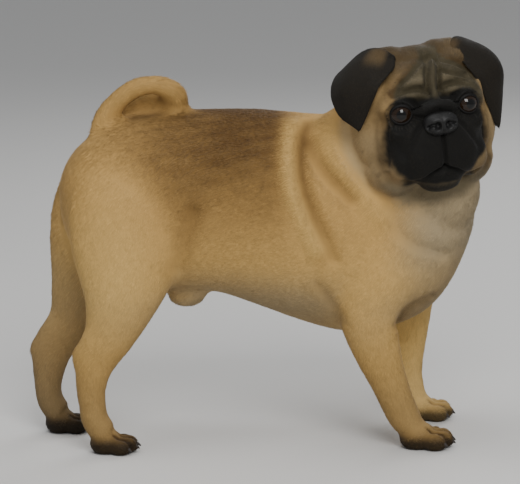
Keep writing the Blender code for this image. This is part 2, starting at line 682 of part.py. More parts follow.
def part_off(whole, name, block, frame=None):
    """Parts the piece inside a block from the whole, with the gap between the two, and returns it."""
    piece = copy_of(whole, name)
    combine(piece, [object_of("inside", region(*block, frame))], "INTERSECT")
    combine(whole, [object_of("around", region(*block, frame, wider=GAP))], "DIFFERENCE")
    return piece


def flat_soles(thing):
    """Cuts the paws flat at the floor."""
    low, high = Vector((-0.4, -0.3, -0.1)), Vector((0.4, 0.3, 0.0))
    combine(thing, [object_of("floor", region(low, high, ()))], "DIFFERENCE")


def ear_sheet(side, across=7):
    """The ear's middle surface as an array of points in the head's frame, from the rows of its sizes."""
    rows = np.array([smooth_rows(row, (across - 1) // 3) for row in EAR_ROWS[side]])
    grid = smooth_rows(rows.reshape(len(rows), -1), 3).reshape(-1, rows.shape[1], 3)
    return grid * (1, side, 1)


def ear_forms(side):
    """The ear in two pieces, its stub and its flap, with the gap between them across its first rows."""
    grid = ear_sheet(side)
    normal = np.cross(np.gradient(grid, axis=1), np.gradient(grid, axis=0)) * side
    normal /= np.linalg.norm(normal, axis=2, keepdims=True)
    rows, columns = grid.shape[:2]
    rim = np.maximum(np.sin(np.linspace(0.12, math.pi - 0.12, columns)) ** 0.5, 0.45)
    half = (EAR_THICKNESS / 2 * np.linspace(1.15, 0.7, rows)[:, None] * rim)[..., None]
    frame = head_frame()
    loops = np.concatenate([grid + normal * half, (grid - normal * half)[:, ::-1]], axis=1)
    step = loops[3] - loops[2]
    cut = loops[2] + step * 0.35
    gap = step.mean(axis=0) / np.linalg.norm(step.mean(axis=0)) * GAP * 1.2
    pieces = ([*loops[:3], cut], [cut + gap, *loops[3:]])
    return [loft([[frame @ Vector(p) for p in loop] for loop in piece]) for piece in pieces]


def halves(shape, point, normal):
    """Splits a closed bmesh by a plane: the piece behind it and the piece ahead, with the gap between them."""
    normal = Vector(normal).normalized()
    made = []
    for side in (-1, 1):
        half = shape.copy()
        cut = bmesh.ops.bisect_plane(
            half,
            geom=[*half.verts, *half.edges, *half.faces],
            plane_co=Vector(point) + normal * (side * GAP / 2),
            plane_no=normal,
            clear_outer=side < 0,
            clear_inner=side > 0,
        )
        rim = [e for e in cut["geom_cut"] if isinstance(e, bmesh.types.BMEdge)]
        bmesh.ops.edgeloop_fill(half, edges=rim)
        bmesh.ops.recalc_face_normals(half, faces=half.faces)
        bmesh.ops.triangulate(half, faces=half.faces)
        made.append(half)
    shape.free()
    return made


def lid_opening(side):
    """The round opening of the lids, as an oval bar along the eye's axis."""
    half_wide, half_high = LID_OPENING
    rings = []
    for reach, share in ((0.002, 0.86), (EYE_RADIUS + 0.012, 1.12)):
        turns = [2 * math.pi * k / 20 for k in range(20)]
        rings.append([eye_frame(side) @ Vector((reach, share * half_wide * math.cos(t),
                                                share * half_high * math.sin(t))) for t in turns])
    return loft(rings)


def nostril_forms(side):
    """A nostril as two tubes: the pit that runs in from the nose's front, and the slit that bends round its side."""
    frame = head_frame() @ Matrix.Translation(NOSE)
    return [
        tube_form([(*(frame @ Vector((x, side * y, z))), size, size) for x, y, z in points], 8, 2,
                  frame.to_3x3() @ Vector((0.0, 0.0, 1.0)))
        for size, points in NOSTRIL
    ]


def centre(things):
    """Moves everything so that its box stands on the floor with its middle over the origin."""
    clouds = [points_of(thing) for thing in things]
    low, high = np.vstack(clouds).min(0), np.vstack(clouds).max(0)
    shift = np.array([(low[0] + high[0]) / 2, (low[1] + high[1]) / 2, low[2]])
    for thing, points in zip(things, clouds):
        set_points(thing, points - shift)


def build():
    """Models the dog and parts it into its nodes."""
    clear_scene()
    frame = head_frame()
    coat = finish_of("fawn_coat", FAWN, 0.85)
    mask = finish_of("black_coat", BLACK, 0.8)
    leather = finish_of("black_leather", BLACK, 0.45)
    glass = finish_of("eye", BROWN_EYE, 0.08)

    def trunk_forms():
        return [torso_form(), tube_form(NECK, 28, 3, (0.5, 0.0, 0.8)), ball_form(*THROAT)]

    tail_root, tail = halves(tail_form(), *TAIL_CUT)
    forms = [*trunk_forms(), *head_forms(), ball_form(*SHEATH)]
    forms += [tube_form(stations) for stations in LEGS.values()]
    forms += [form for name in LEGS for form in paw_forms(name)]
    forms += [ball_form(hock, HOCK_RADII) for hock in HOCKS]
    forms.append(ball_form((-0.1200, -0.003, 0.2550), (0.018, 0.020, 0.020)))
    body = merged("torso", forms, BODY_VOXEL)
    height = points_of(body)[:, 2]
    soften(body, 0.5 * np.clip((height - 0.018) / 0.05, 0.22, 1.0), 9)
    crease_body(body)
    thinned(body, BODY_TRIANGLES)
    flat_soles(body)

    head = merged("head", [*trunk_forms(), *head_forms()], HEAD_VOXEL)
    soften(head, 0.5, 3)
    crease_face(head)
    thinned(head, HEAD_TRIANGLES)
    combine(head, [object_of("inside", region(*HEAD_REGION, frame))], "INTERSECT")
    combine(body, [object_of("around", region(*HEAD_REGION, frame, wider=GAP))], "DIFFERENCE")
    keep_largest(head)

    neck = part_off(body, "neck", NECK_REGION)
    legs = {name: part_off(body, name, block) for name, block in LEG_REGIONS.items()}
    for thing in (body, neck, *legs.values()):
        keep_largest(thing)
    combine(body, [object_of("root", tail_root)], "UNION")
    for name, leg in legs.items():
        combine(leg, [object_of("claw", form) for form in claw_forms(name)], "UNION")
        keep_largest(leg)

    nodes = {"torso": body, "neck": neck, "head": head, "tail": object_of("tail", tail), **legs}
    sides = ((1, "left"), (-1, "right"))
    for side, word in sides:
        stub, ear = ear_forms(side)
        combine(head, [object_of("stub", stub)], "UNION")
        nodes["ear_" + word] = object_of("ear_" + word, ear)
    for side, word in sides:
        socket = ball_form((0.0, 0.0, 0.0), (EYE_RADIUS + GAP,) * 3, eye_frame(side))
        combine(head, [object_of("socket", socket)], "DIFFERENCE")
        combine(head, [object_of("opening", lid_opening(side))], "DIFFERENCE")
        eye = ball_form((0.0, 0.0, 0.0), (EYE_RADIUS,) * 3, eye_frame(side))
        nodes["eye_" + word] = object_of("eye_" + word, eye)
    nose = object_of("nose", ball_form(NOSE, NOSE_RADII, frame, power=NOSE_SQUARENESS))
    for side in (1, -1):
        for form in nostril_forms(side):
            combine(nose, [object_of("nostril", form)], "DIFFERENCE")
    seat = ball_form(NOSE, [r + GAP for r in NOSE_RADII], frame, power=NOSE_SQUARENESS)
    combine(head, [object_of("seat", seat)], "DIFFERENCE")
    nodes["nose"] = nose
    keep_largest(head)

    centre(nodes.values())
    for name, thing in nodes.items():
        thing.name = name
        kind = {"nose": leather, "eye_left": glass, "eye_right": glass, "ear_left": mask, "ear_right": mask}
        thing.data.materials.clear()
        thing.data.materials.append(kind.get(name, coat))
        thing.data.shade_smooth()
        thing.data.set_sharp_from_angle(angle=math.radians(40))
    return nodes


if __name__ == "__main__":
    build()
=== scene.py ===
"""A life-size pug in its short coat, standing with its body in profile and its face turned to its right side.

One closed skin is merged from lofted and round forms, folded, and dressed in short flat tufts that follow
the lie of the coat. The ears, lids, eyes, nose pad and claws are pieces of their own. Metres, +Z up, +X from
the tail to the chest, +Y to the dog's left. Forms are worked out about the model's own origin, and
Shape.mesh moves them to where the solids stand.
"""

import logging
import math
from collections.abc import Sequence
from dataclasses import dataclass, field
from enum import Enum

import bmesh
import bpy
import numpy as np
from mathutils import Matrix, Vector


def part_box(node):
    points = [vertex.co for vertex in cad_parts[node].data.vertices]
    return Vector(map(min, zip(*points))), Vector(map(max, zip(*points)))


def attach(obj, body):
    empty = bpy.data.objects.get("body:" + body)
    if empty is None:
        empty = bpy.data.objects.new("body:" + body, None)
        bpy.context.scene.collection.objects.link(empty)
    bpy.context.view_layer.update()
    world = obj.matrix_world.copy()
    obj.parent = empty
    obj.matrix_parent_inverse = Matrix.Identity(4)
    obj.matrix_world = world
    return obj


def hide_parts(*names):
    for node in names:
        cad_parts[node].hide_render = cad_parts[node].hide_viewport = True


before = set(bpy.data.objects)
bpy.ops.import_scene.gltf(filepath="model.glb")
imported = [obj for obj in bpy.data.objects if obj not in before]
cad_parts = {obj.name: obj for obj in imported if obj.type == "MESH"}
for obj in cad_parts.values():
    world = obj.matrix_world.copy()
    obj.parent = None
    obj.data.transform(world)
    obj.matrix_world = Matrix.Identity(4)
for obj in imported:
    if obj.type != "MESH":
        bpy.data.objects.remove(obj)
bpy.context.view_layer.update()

LOG = logging.getLogger("pug")
Array = np.ndarray
Rows = Sequence[Sequence[float]]
Triple = tuple[float, float, float]
Ball = tuple[Triple, Triple, float]
Crease = tuple[float, float, float, int, Rows]


class Part(Enum):
    """The parts of the dog that the lie, the length and the unwrap of the coat are worked out for."""

    TRUNK = 0
    NECK = 1
    HEAD = 2
    FORE_RIGHT = 3
    FORE_LEFT = 4
    HIND_RIGHT = 5
    HIND_LEFT = 6
    TAIL = 7


LEGS = (Part.FORE_RIGHT, Part.FORE_LEFT, Part.HIND_RIGHT, Part.HIND_LEFT)


class Mark(Enum):
    """The coat's markings, with the painted shade and light that they also carry, each a share from 0 to 1 at
    every point of the skin.
    """

    BLACK = 0
    DUSK = 1
    PALE = 2
    GREY = 3


def unit(vectors: Array) -> Array:
    """Vectors divided by their lengths along the last axis."""
    return vectors / np.maximum(np.linalg.norm(vectors, axis=-1, keepdims=True), 1e-12)


def step(values: Array, low: float, high: float) -> Array:
    """A smooth step: 0 below low, 1 above high, and 3t^2 - 2t^3 between."""
    share = np.clip((values - low) / (high - low), 0.0, 1.0)
    return share * share * (3.0 - 2.0 * share)


def below(values: Array, low: float, high: float) -> Array:
    """The smooth step turned over: 1 below low and 0 above high."""
    return 1.0 - step(values, low, high)


def bell(distances: Array, width: float, power: int = 2) -> Array:
    """A rounded bump of the height 1: exp(-(distance / width)^power)."""
    return np.exp(-((distances / width) ** power))


def stacked(*columns: Array) -> Array:
    """Arrays of one shape as the last axis of one array."""
    return np.stack(np.broadcast_arrays(*columns), axis=-1)


def laid(directions: Array, normals: Array) -> Array:
    """Directions laid flat on the surface that has these normals."""
    return unit(directions - normals * (directions * normals).sum(axis=1, keepdims=True))


def smooth_rows(rows: Rows, steps: int) -> Array:
    """Puts Catmull-Rom rows between rows.

    Each span is half of (2b + (c - a)t + (2a - 5b + 4c - d)t^2 + (3b - a - 3c + d)t^3).

    Args:
        rows: the rows of numbers to pass through.
        steps: how many rows each span becomes.

    Returns:
        The rows as an array, with the last given row at its end.
    """
    given = np.asarray(rows, float)
    ends = np.vstack([2 * given[0] - given[1], given, 2 * given[-1] - given[-2]])
    a, b, c, d = (ends[i : len(ends) - 3 + i, None] for i in range(4))
    t = (np.arange(steps) / steps)[None, :, None]
    made = 0.5 * (2 * b + (c - a) * t + (2 * a - 5 * b + 4 * c - d) * t**2 + (3 * b - a - 3 * c + d) * t**3)
    return np.vstack([made.reshape(-1, given.shape[1]), given[-1:]])


def turned(axis: int, degrees: float) -> Array:
    """The rotation matrix about the x, y or z axis (0, 1, 2)."""
    c, s = math.cos(math.radians(degrees)), math.sin(math.radians(degrees))
    made = np.eye(3)
    i, j = (axis + 1) % 3, (axis + 2) % 3
    made[i, i], made[j, j], made[i, j], made[j, i] = c, c, -s, s
    return made


def away_from(points: Array, line: Array) -> Array:
    """How far each point is from a line of straight runs."""
    best = np.full(len(points), np.inf)
    for start, end in zip(line, line[1:]):
        run = end - start
        along = np.clip((points - start) @ run / max(float(run @ run), 1e-12), 0.0, 1.0)
        best = np.minimum(best, np.linalg.norm(points - start - along[:, None] * run, axis=1))
    return best


@dataclass(frozen=True)
class Place:
    """An origin and a turn: what is given in its frame is carried to the model's frame."""

    origin: Array
    turn: Array

    def out(self, points: Array) -> Array:
        """Points of this frame in the model's frame."""
        return np.asarray(points, float) @ self.turn.T + self.origin

    def into(self, points: Array) -> Array:
        """Points of the model's frame in this frame."""
        return (points - self.origin) @ self.turn


@dataclass
class Shape:
    """Points with their faces, which are arrays of quads or of triangles."""

    points: Array
    faces: list[Array]

    def triangles(self) -> Array:
        """Every face as triangles, each quad cut in two."""
        cut = [f if f.shape[1] == 3 else np.vstack([f[:, [0, 1, 2]], f[:, [0, 2, 3]]]) for f in self.faces]
        return np.vstack(cut)

    def outward(self) -> "Shape":
        """The shape with its faces turned out, told by the sign of the volume that they enclose."""
        corners = self.points[self.triangles()]
        if np.linalg.det(corners).sum() < 0:
            self.faces = [f[:, ::-1] for f in self.faces]
        return self

    def normals(self) -> Array:
        """Unit normals of the points, from the areas of the triangles round each."""
        triangles = self.triangles()
        a, b, c = (self.points[triangles[:, i]] for i in range(3))
        area = np.cross(b - a, c - a)
        total = np.zeros_like(self.points)
        for i in range(3):
            for axis in range(3):
                total[:, axis] += np.bincount(triangles[:, i], area[:, axis], len(self.points))
        return unit(total)

    def mesh(self, name: str, shift: Array) -> bpy.types.Mesh:
        """Makes the Blender mesh, moved from the model's own origin to where the solids stand."""
        made = bpy.data.meshes.new(name)
        sizes = np.concatenate([np.full(len(f), f.shape[1]) for f in self.faces])
        corners = np.concatenate([f.ravel() for f in self.faces])
        made.vertices.add(len(self.points))
        made.vertices.foreach_set("co", (self.points - shift).astype(np.float32).ravel())
        made.loops.add(len(corners))
        made.loops.foreach_set("vertex_index", corners.astype(np.int32))
        made.polygons.add(len(sizes))
        made.polygons.foreach_set("loop_start", np.r_[0, np.cumsum(sizes)[:-1]].astype(np.int32))
        made.update(calc_edges=True)
        return made


def gathered(shapes: Sequence[Shape]) -> Shape:
    """Several shapes as one, with their points numbered on."""
    starts = np.cumsum([0] + [len(s.points) for s in shapes[:-1]])
    faces = [f + start for s, start in zip(shapes, starts) for f in s.faces]
    quads = [f for f in faces if f.shape[1] == 4]
    triangles = [f for f in faces if f.shape[1] == 3]
    kept = [np.vstack(group) for group in (quads, triangles) if group]
    return Shape(np.vstack([s.points for s in shapes]), kept)


def closed_rings(rings: Array) -> Shape:
    """A closed surface through rings of points: a grid that joins round, with a fan at each end.

    Args:
        rings: an array of rings by points by coordinates.

    Returns:
        The shape, with its faces turned out.
    """
    rows, around = rings.shape[:2]
    grid = np.arange(rows * around).reshape(rows, around)
    nxt = np.roll(grid, -1, axis=1)
    quads = np.stack([grid[:-1], nxt[:-1], nxt[1:], grid[1:]], axis=-1).reshape(-1, 4)
    ends = rows * around
    fans = [
        np.stack([nxt[0], grid[0], np.full(around, ends)], axis=-1),
        np.stack([grid[-1], nxt[-1], np.full(around, ends + 1)], axis=-1),
    ]
    points = np.vstack([rings.reshape(-1, 3), rings[0].mean(axis=0), rings[-1].mean(axis=0)])
    return Shape(points, [quads, np.vstack(fans)]).outward()


def ovals(rows: Array, first: Array, second: Array, around: int) -> Shape:
    """A closed tube of the ovals centre + a first cos t + b second sin t, from rows of centre, a and b."""
    t = np.linspace(0.0, 2 * math.pi, around, endpoint=False)[None, :, None]
    rings = rows[:, None, :3] + first[:, None] * rows[:, None, 3:4] * np.cos(t)
    return closed_rings(rings + second[:, None] * rows[:, None, 4:5] * np.sin(t))


def tube(stations: Rows, around: int = 24, steps: int = 5, front: Triple = (1.0, 0.0, 0.0)) -> Shape:
    """A tube of ovals that stand square to their path.

    Args:
        stations: rows of x, y, z, the radius towards front and the radius across it.
        around: the number of points round it.
        steps: rows between stations.
        front: the direction that the first radius leans to.

    Returns:
        The closed tube.
    """
    rows = smooth_rows(stations, steps)
    run = unit(np.gradient(rows[:, :3], axis=0))
    ahead = np.asarray(front, float)
    along = ahead - run * (run @ ahead)[:, None]
    upright = np.array([0.0, 0.0, 1.0]) - run * run[:, 2:3]
    along = unit(np.where(np.linalg.norm(along, axis=1, keepdims=True) < 0.25, upright, along))
    return ovals(rows, along, np.cross(run, along), around)


def carried_tube(stations: Rows, around: int = 20, steps: int = 5) -> Shape:
    """A tube whose rings keep their turn from one to the next, for a path that curls round."""
    rows = smooth_rows(stations, steps)
    run = unit(np.gradient(rows[:, :3], axis=0))
    side = np.zeros_like(run)
    held = np.array([0.0, 1.0, 0.0])
    for i, direction in enumerate(run):
        held = unit(held - direction * (held @ direction))
        side[i] = held
    return ovals(rows, np.cross(run, side), side, around)


def ball(centre: Sequence[float], radii: Sequence[float], place: Place | None = None, power: float = 2.0,
         rows: int = 18) -> Shape:
    """An ellipsoid over latitude and longitude, squarer where its power is above 2.

    Each direction d of the unit sphere is divided by (|dx|^p + |dy|^p + |dz|^p)^(1/p) and multiplied by
    the radii.

    Args:
        centre: its centre in the frame of place.
        radii: its three radii.
        place: the frame, or none for the model's own.
        power: p of the formula above.
        rows: rows of latitude, with twice as many points round.

    Returns:
        The closed ball.
    """
    rise = np.linspace(-math.pi / 2, math.pi / 2, rows + 2)[1:-1, None]
    turn = np.linspace(0.0, 2 * math.pi, 2 * rows, endpoint=False)[None, :]
    way = stacked(np.cos(rise) * np.cos(turn), np.cos(rise) * np.sin(turn), np.sin(rise) + 0 * turn)
    way /= (np.abs(way) ** power).sum(axis=-1, keepdims=True) ** (1.0 / power)
    shape = closed_rings(way * np.asarray(radii, float) + np.asarray(centre, float))
    return shape if place is None else Shape(place.out(shape.points), shape.faces).outward()


def both_sides(point: Sequence[float]) -> list[tuple[float, ...]]:
    """A point of the head with its mirror image, or alone where it is on the middle."""
    x, y, z = point
    return [(x, y, z)] if abs(y) < 1e-6 else [(x, y, z), (x, -y, z)]


def put(name: str, data: bpy.types.ID) -> bpy.types.Object:
    """A new object in the scene."""
    made = bpy.data.objects.new(name, data)
    bpy.context.scene.collection.objects.link(made)
    return made


def carry(mesh: bpy.types.Mesh, name: str, kind: str, values: Array) -> None:
    """Gives the points of a mesh an attribute: a colour each for FLOAT_COLOR, or a number each for FLOAT."""
    made = mesh.attributes.new(name, kind, "POINT")
    made.data.foreach_set("color" if kind == "FLOAT_COLOR" else "value", values.astype(np.float32).ravel())


@dataclass(frozen=True)
class Eyeball:
    """Where the eyes lie in the head's frame and how wide their lids open."""

    centre: Triple = (0.0395, 0.0278, 0.002)
    radius: float = 0.0105
    turn: float = 13.0
    lid: float = 0.0017
    opening: tuple[float, float] = (0.009, 0.0078)


@dataclass(frozen=True)
class Build:
    """The dog's sizes: rings of the trunk, paths of neck, legs and tail, and the round forms of the head.

    A row of the trunk is x, the heights of its top and its bottom, half its width, and the height where it is
    widest. A row of a path is a centre with its two radii, and a ball is a centre, its radii and its power.
    A roll of the head is a radius and a line, and a paw is its place on the floor, its heading and its scale.
    """

    spine: tuple[float, float] = (-0.037, -0.43)
    trunk: Rows = (
        (-0.164, 0.23, 0.206, 0.012, 0.218), (-0.159, 0.245, 0.186, 0.031, 0.214),
        (-0.148, 0.261, 0.164, 0.045, 0.21), (-0.13, 0.275, 0.148, 0.056, 0.208),
        (-0.105, 0.286, 0.14, 0.062, 0.21), (-0.07, 0.291, 0.136, 0.064, 0.21),
        (-0.03, 0.292, 0.132, 0.064, 0.206), (0.01, 0.291, 0.118, 0.068, 0.202),
        (0.045, 0.287, 0.105, 0.072, 0.196), (0.08, 0.284, 0.096, 0.074, 0.188),
        (0.11, 0.281, 0.097, 0.073, 0.188), (0.138, 0.273, 0.106, 0.068, 0.19),
        (0.158, 0.261, 0.119, 0.06, 0.194), (0.174, 0.247, 0.14, 0.05, 0.197),
        (0.186, 0.232, 0.166, 0.036, 0.201), (0.1935, 0.219, 0.189, 0.015, 0.204),
    )
    neck: Rows = (
        (0.06, -0.006, 0.21, 0.06, 0.062), (0.092, -0.012, 0.23, 0.061, 0.063),
        (0.12, -0.024, 0.254, 0.058, 0.06), (0.137, -0.04, 0.278, 0.052, 0.056),
        (0.144, -0.05, 0.296, 0.04, 0.046),
    )
    legs: dict[Part, Rows] = field(default_factory=lambda: {
        Part.FORE_RIGHT: (
            (0.118, -0.044, 0.23, 0.034, 0.022), (0.12, -0.049, 0.203, 0.045, 0.03),
            (0.11, -0.055, 0.158, 0.04, 0.03), (0.1, -0.058, 0.119, 0.0275, 0.0235),
            (0.1075, -0.057, 0.084, 0.0212, 0.0185), (0.1155, -0.055, 0.062, 0.0176, 0.0165),
            (0.1225, -0.053, 0.043, 0.0157, 0.0155), (0.129, -0.051, 0.028, 0.0146, 0.015),
            (0.136, -0.05, 0.017, 0.012, 0.0145),
        ),
        Part.FORE_LEFT: (
            (0.124, 0.03, 0.23, 0.034, 0.022), (0.13, 0.036, 0.203, 0.045, 0.03),
            (0.133, 0.043, 0.158, 0.038, 0.029), (0.138, 0.048, 0.119, 0.027, 0.023),
            (0.138, 0.05, 0.084, 0.0208, 0.0183), (0.137, 0.051, 0.062, 0.0178, 0.0165),
            (0.1368, 0.052, 0.043, 0.0157, 0.0153), (0.1395, 0.052, 0.028, 0.0146, 0.015),
            (0.145, 0.052, 0.017, 0.012, 0.0145),
        ),
        Part.HIND_RIGHT: (
            (-0.098, -0.032, 0.248, 0.034, 0.02), (-0.104, -0.037, 0.22, 0.05, 0.029),
            (-0.105, -0.04, 0.183, 0.05, 0.031), (-0.108, -0.043, 0.153, 0.042, 0.028),
            (-0.114, -0.044, 0.126, 0.031, 0.023), (-0.123, -0.044, 0.103, 0.0235, 0.018),
            (-0.1345, -0.044, 0.084, 0.02, 0.0155), (-0.1395, -0.044, 0.063, 0.0152, 0.014),
            (-0.1395, -0.043, 0.045, 0.0128, 0.013), (-0.1375, -0.042, 0.03, 0.0124, 0.014),
            (-0.131, -0.041, 0.018, 0.012, 0.0145),
        ),
        Part.HIND_LEFT: (
            (-0.102, 0.026, 0.248, 0.034, 0.02), (-0.114, 0.03, 0.22, 0.051, 0.029),
            (-0.127, 0.033, 0.183, 0.052, 0.031), (-0.1395, 0.036, 0.153, 0.042, 0.028),
            (-0.151, 0.038, 0.126, 0.029, 0.023), (-0.16, 0.039, 0.101, 0.0225, 0.018),
            (-0.1775, 0.039, 0.077, 0.0198, 0.0155), (-0.1825, 0.039, 0.055, 0.0154, 0.014),
            (-0.1835, 0.038, 0.04, 0.0128, 0.013), (-0.1815, 0.038, 0.028, 0.0124, 0.014),
            (-0.175, 0.037, 0.018, 0.012, 0.0145),
        ),
    })
    tail: Rows = (
        (-0.114, -0.003, 0.254, 0.0158, 0.015), (-0.124, -0.003, 0.27, 0.0132, 0.013),
        (-0.1215, -0.0045, 0.287, 0.0114, 0.0112), (-0.1105, -0.008, 0.301, 0.0104, 0.0106),
        (-0.0955, -0.011, 0.312, 0.01, 0.0104), (-0.077, -0.0112, 0.315, 0.01, 0.0104),
        (-0.0632, -0.01, 0.309, 0.0112, 0.0108), (-0.06, -0.0045, 0.3, 0.012, 0.0112),
        (-0.0685, 0.0055, 0.2978, 0.0118, 0.011), (-0.079, 0.013, 0.2978, 0.0114, 0.0108),
        (-0.0885, 0.016, 0.2955, 0.0112, 0.0106), (-0.098, 0.0165, 0.2928, 0.0104, 0.01),
        (-0.1055, 0.0155, 0.2904, 0.0088, 0.0086), (-0.11, 0.014, 0.289, 0.0056, 0.0054),
    )
    head_at: Triple = (0.145, -0.0566, 0.2975)
    head_turn: Triple = (-76.5, 0.0, 6.0)
    head_balls: tuple[Ball, ...] = (
        ((-0.012, 0.0, -0.001), (0.05, 0.056, 0.049), 2.0),
        ((0.016, 0.0, 0.012), (0.0275, 0.044, 0.031), 2.3),
        ((0.0305, 0.029, 0.003), (0.0195, 0.0182, 0.0205), 2.0),
        ((0.036, 0.03, -0.012), (0.015, 0.015, 0.012), 2.0),
        ((0.004, 0.03, 0.028), (0.022, 0.012, 0.014), 2.0),
        ((0.005, 0.036, -0.018), (0.035, 0.026, 0.038), 2.0),
        ((0.005, 0.0315, -0.046), (0.031, 0.026, 0.027), 2.0),
        ((0.037, 0.0, -0.029), (0.0245, 0.036, 0.031), 2.5),
        ((0.0435, 0.015, -0.035), (0.0175, 0.0185, 0.0205), 2.3),
        ((0.034, 0.028, -0.04), (0.02, 0.016, 0.02), 2.0),
        ((0.036, 0.0, -0.057), (0.016, 0.019, 0.012), 2.2),
        ((0.05, 0.0, -0.008), (0.012, 0.018, 0.018), 2.2),
        ((0.01, 0.04, 0.01), (0.0245, 0.0145, 0.024), 2.0),
        ((0.011, 0.03, 0.035), (0.016, 0.013, 0.0125), 2.0),
        ((0.0, 0.0, 0.0105), (0.034, 0.04, 0.0412), 2.1),
        ((-0.002, 0.031, 0.04), (0.019, 0.016, 0.0135), 2.0),
        ((-0.002, 0.02, 0.0402), (0.019, 0.0145, 0.0135), 2.0),
    )
    head_rolls: tuple[tuple[float, Rows], ...] = (
        (0.006, (
            (0.0545, 0.0, 0.005), (0.052, 0.011, 0.0035), (0.049, 0.02, -0.006), (0.045, 0.027, -0.016),
            (0.04, 0.033, -0.027), (0.033, 0.038, -0.038),
        )),
        (0.0055, (
            (0.039, 0.007, 0.014), (0.039, 0.018, 0.0165), (0.035, 0.03, 0.0165), (0.028, 0.039, 0.011),
        )),
        (0.006, ((0.044, 0.0, 0.006), (0.044, 0.0, 0.012))),
        (0.0055, ((0.027, 0.047, -0.008), (0.025, 0.05, -0.024), (0.02, 0.049, -0.04))),
    )
    throat: Rows = ((0.16, -0.034, 0.224), (0.039, 0.046, 0.046))
    sheath: Rows = ((-0.0555, -0.005, 0.1315), (0.0185, 0.013, 0.014))
    hocks: Rows = ((-0.147, -0.044, 0.0855), (-0.19, 0.039, 0.076))
    hock_radii: Triple = (0.0105, 0.01, 0.0125)
    tail_set: Rows = ((-0.12, -0.003, 0.255), (0.018, 0.02, 0.02))
    paws: dict[Part, tuple[tuple[float, float], float, float]] = field(default_factory=lambda: {
        Part.FORE_RIGHT: ((0.1425, -0.05), -5.0, 0.98),
        Part.FORE_LEFT: ((0.1495, 0.052), 4.0, 0.98),
        Part.HIND_RIGHT: ((-0.1265, -0.041), -5.0, 0.88),
        Part.HIND_LEFT: ((-0.171, 0.0375), 4.0, 0.88),
    })
    toes: Rows = (
        (0.013, -0.0145, 0.007), (0.0195, -0.005, 0.008), (0.0195, 0.005, 0.008), (0.013, 0.0145, 0.007),
    )
    toe_radii: Triple = (0.01, 0.0066, 0.0088)
    paw_radii: Triple = (0.017, 0.0185, 0.014)
    paw_height: float = 0.0098
    eye: Eyeball = Eyeball()

    def head(self) -> Place:
        """The head's frame: x forwards, y to its left, z up."""
        yaw, pitch, roll = self.head_turn
        return Place(np.array(self.head_at), turned(2, yaw) @ turned(1, pitch) @ turned(0, roll))

    def eye_place(self, side: int) -> Place:
        """The frame of an eye, whose x looks out.

        Args:
            side: 1 for the left eye and -1 for the right.

        Returns:
            The frame.
        """
        head = self.head()
        x, y, z = self.eye.centre
        return Place(head.out(np.array([x, side * y, z])), head.turn @ turned(2, side * self.eye.turn))

    def shift(self) -> Array:
        """How far the solids were moved from the model's own origin, found from where the left eye stands."""
        low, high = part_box("eye_left")
        return self.eye_place(1).origin - (np.array(low) + np.array(high)) / 2

    def spine_y(self, x: Array) -> Array:
        """The y of the spine at x: a slope and a bend."""
        return self.spine[0] * x + self.spine[1] * x * x

    def paw_place(self, part: Part) -> tuple[Place, float]:
        """A paw's frame on the floor, and its scale."""
        (x, y), heading, size = self.paws[part]
        return Place(np.array([x, y, 0.0]), turned(2, heading)), size

    def trunk_form(self, around: int = 48) -> Shape:
        """The trunk: at each station two half ovals, square to the spine, of the powers 0.88 and 0.92."""
        x, top, bottom, half, widest = smooth_rows(self.trunk, 4).T
        slope = self.spine[0] + 2 * self.spine[1] * x
        across = unit(stacked(-slope, np.ones_like(x), np.zeros_like(x)))
        turn = np.linspace(0.0, 2 * math.pi, around, endpoint=False)
        side = np.sign(np.cos(turn)) * np.abs(np.cos(turn)) ** 0.88
        rise = np.sign(np.sin(turn)) * np.abs(np.sin(turn)) ** 0.92
        reach = np.where(rise > 0, (top - widest)[:, None], (widest - bottom)[:, None])
        height = reach * rise + widest[:, None]
        flat = stacked(x[:, None], self.spine_y(x)[:, None], height)
        return closed_rings(flat + across[:, None] * (side[None, :] * half[:, None])[..., None])

    def head_forms(self) -> list[Shape]:
        """The head's round forms, its rolls of skin and the balls behind its lids."""
        head = self.head()
        made = [ball(place, radii, head, power) for centre, radii, power in self.head_balls
                for place in both_sides(centre)]
        lean = head.turn @ np.array([0.4, 0.0, 1.0])
        for radius, points in self.head_rolls:
            for side in (1, -1):
                line = head.out(np.array(points) * (1, side, 1))
                made.append(tube(np.c_[line, np.full((len(line), 2), radius)], 14, 5, lean))
                made += [ball(end, (radius,) * 3, rows=8) for end in (line[0], line[-1])]
        reach = (self.eye.radius + self.eye.lid,) * 3
        return made + [ball((0.0, 0.0, 0.0), reach, self.eye_place(side)) for side in (1, -1)]

    def paw_forms(self, part: Part) -> list[Shape]:
        """One paw: a rounded body and four toes that lean down at the front."""
        place, size = self.paw_place(part)
        made = [ball((-0.002 * size, 0.0, self.paw_height * size), np.array(self.paw_radii) * size, place)]
        for toe in self.toes:
            leant = Place(place.out(np.array(toe) * size), place.turn @ turned(1, 14.3))
            made.append(ball((0.0, 0.0, 0.0), np.array(self.toe_radii) * size, leant))
        return made

    def forms(self) -> list[Shape]:
        """Every form that the skin is merged from."""
        made = [self.trunk_form(), tube(self.neck, 36, 4, (0.5, 0.0, 0.8))]
        made += [ball(*self.throat), ball(*self.sheath)]
        made += self.head_forms() + [tube(path) for path in self.legs.values()]
        made += [form for part in self.legs for form in self.paw_forms(part)]
        made += [ball(hock, self.hock_radii) for hock in self.hocks]
        return made + [ball(*self.tail_set), carried_tube(self.tail)]


@dataclass
class Hide:
    """A surface that grows a coat, with what each of its points carries."""

    points: Array
    triangles: Array
    normals: Array
    lie: Array
    marks: Array
    length: Array
    width: Array
    crowd: Array
    places: Array


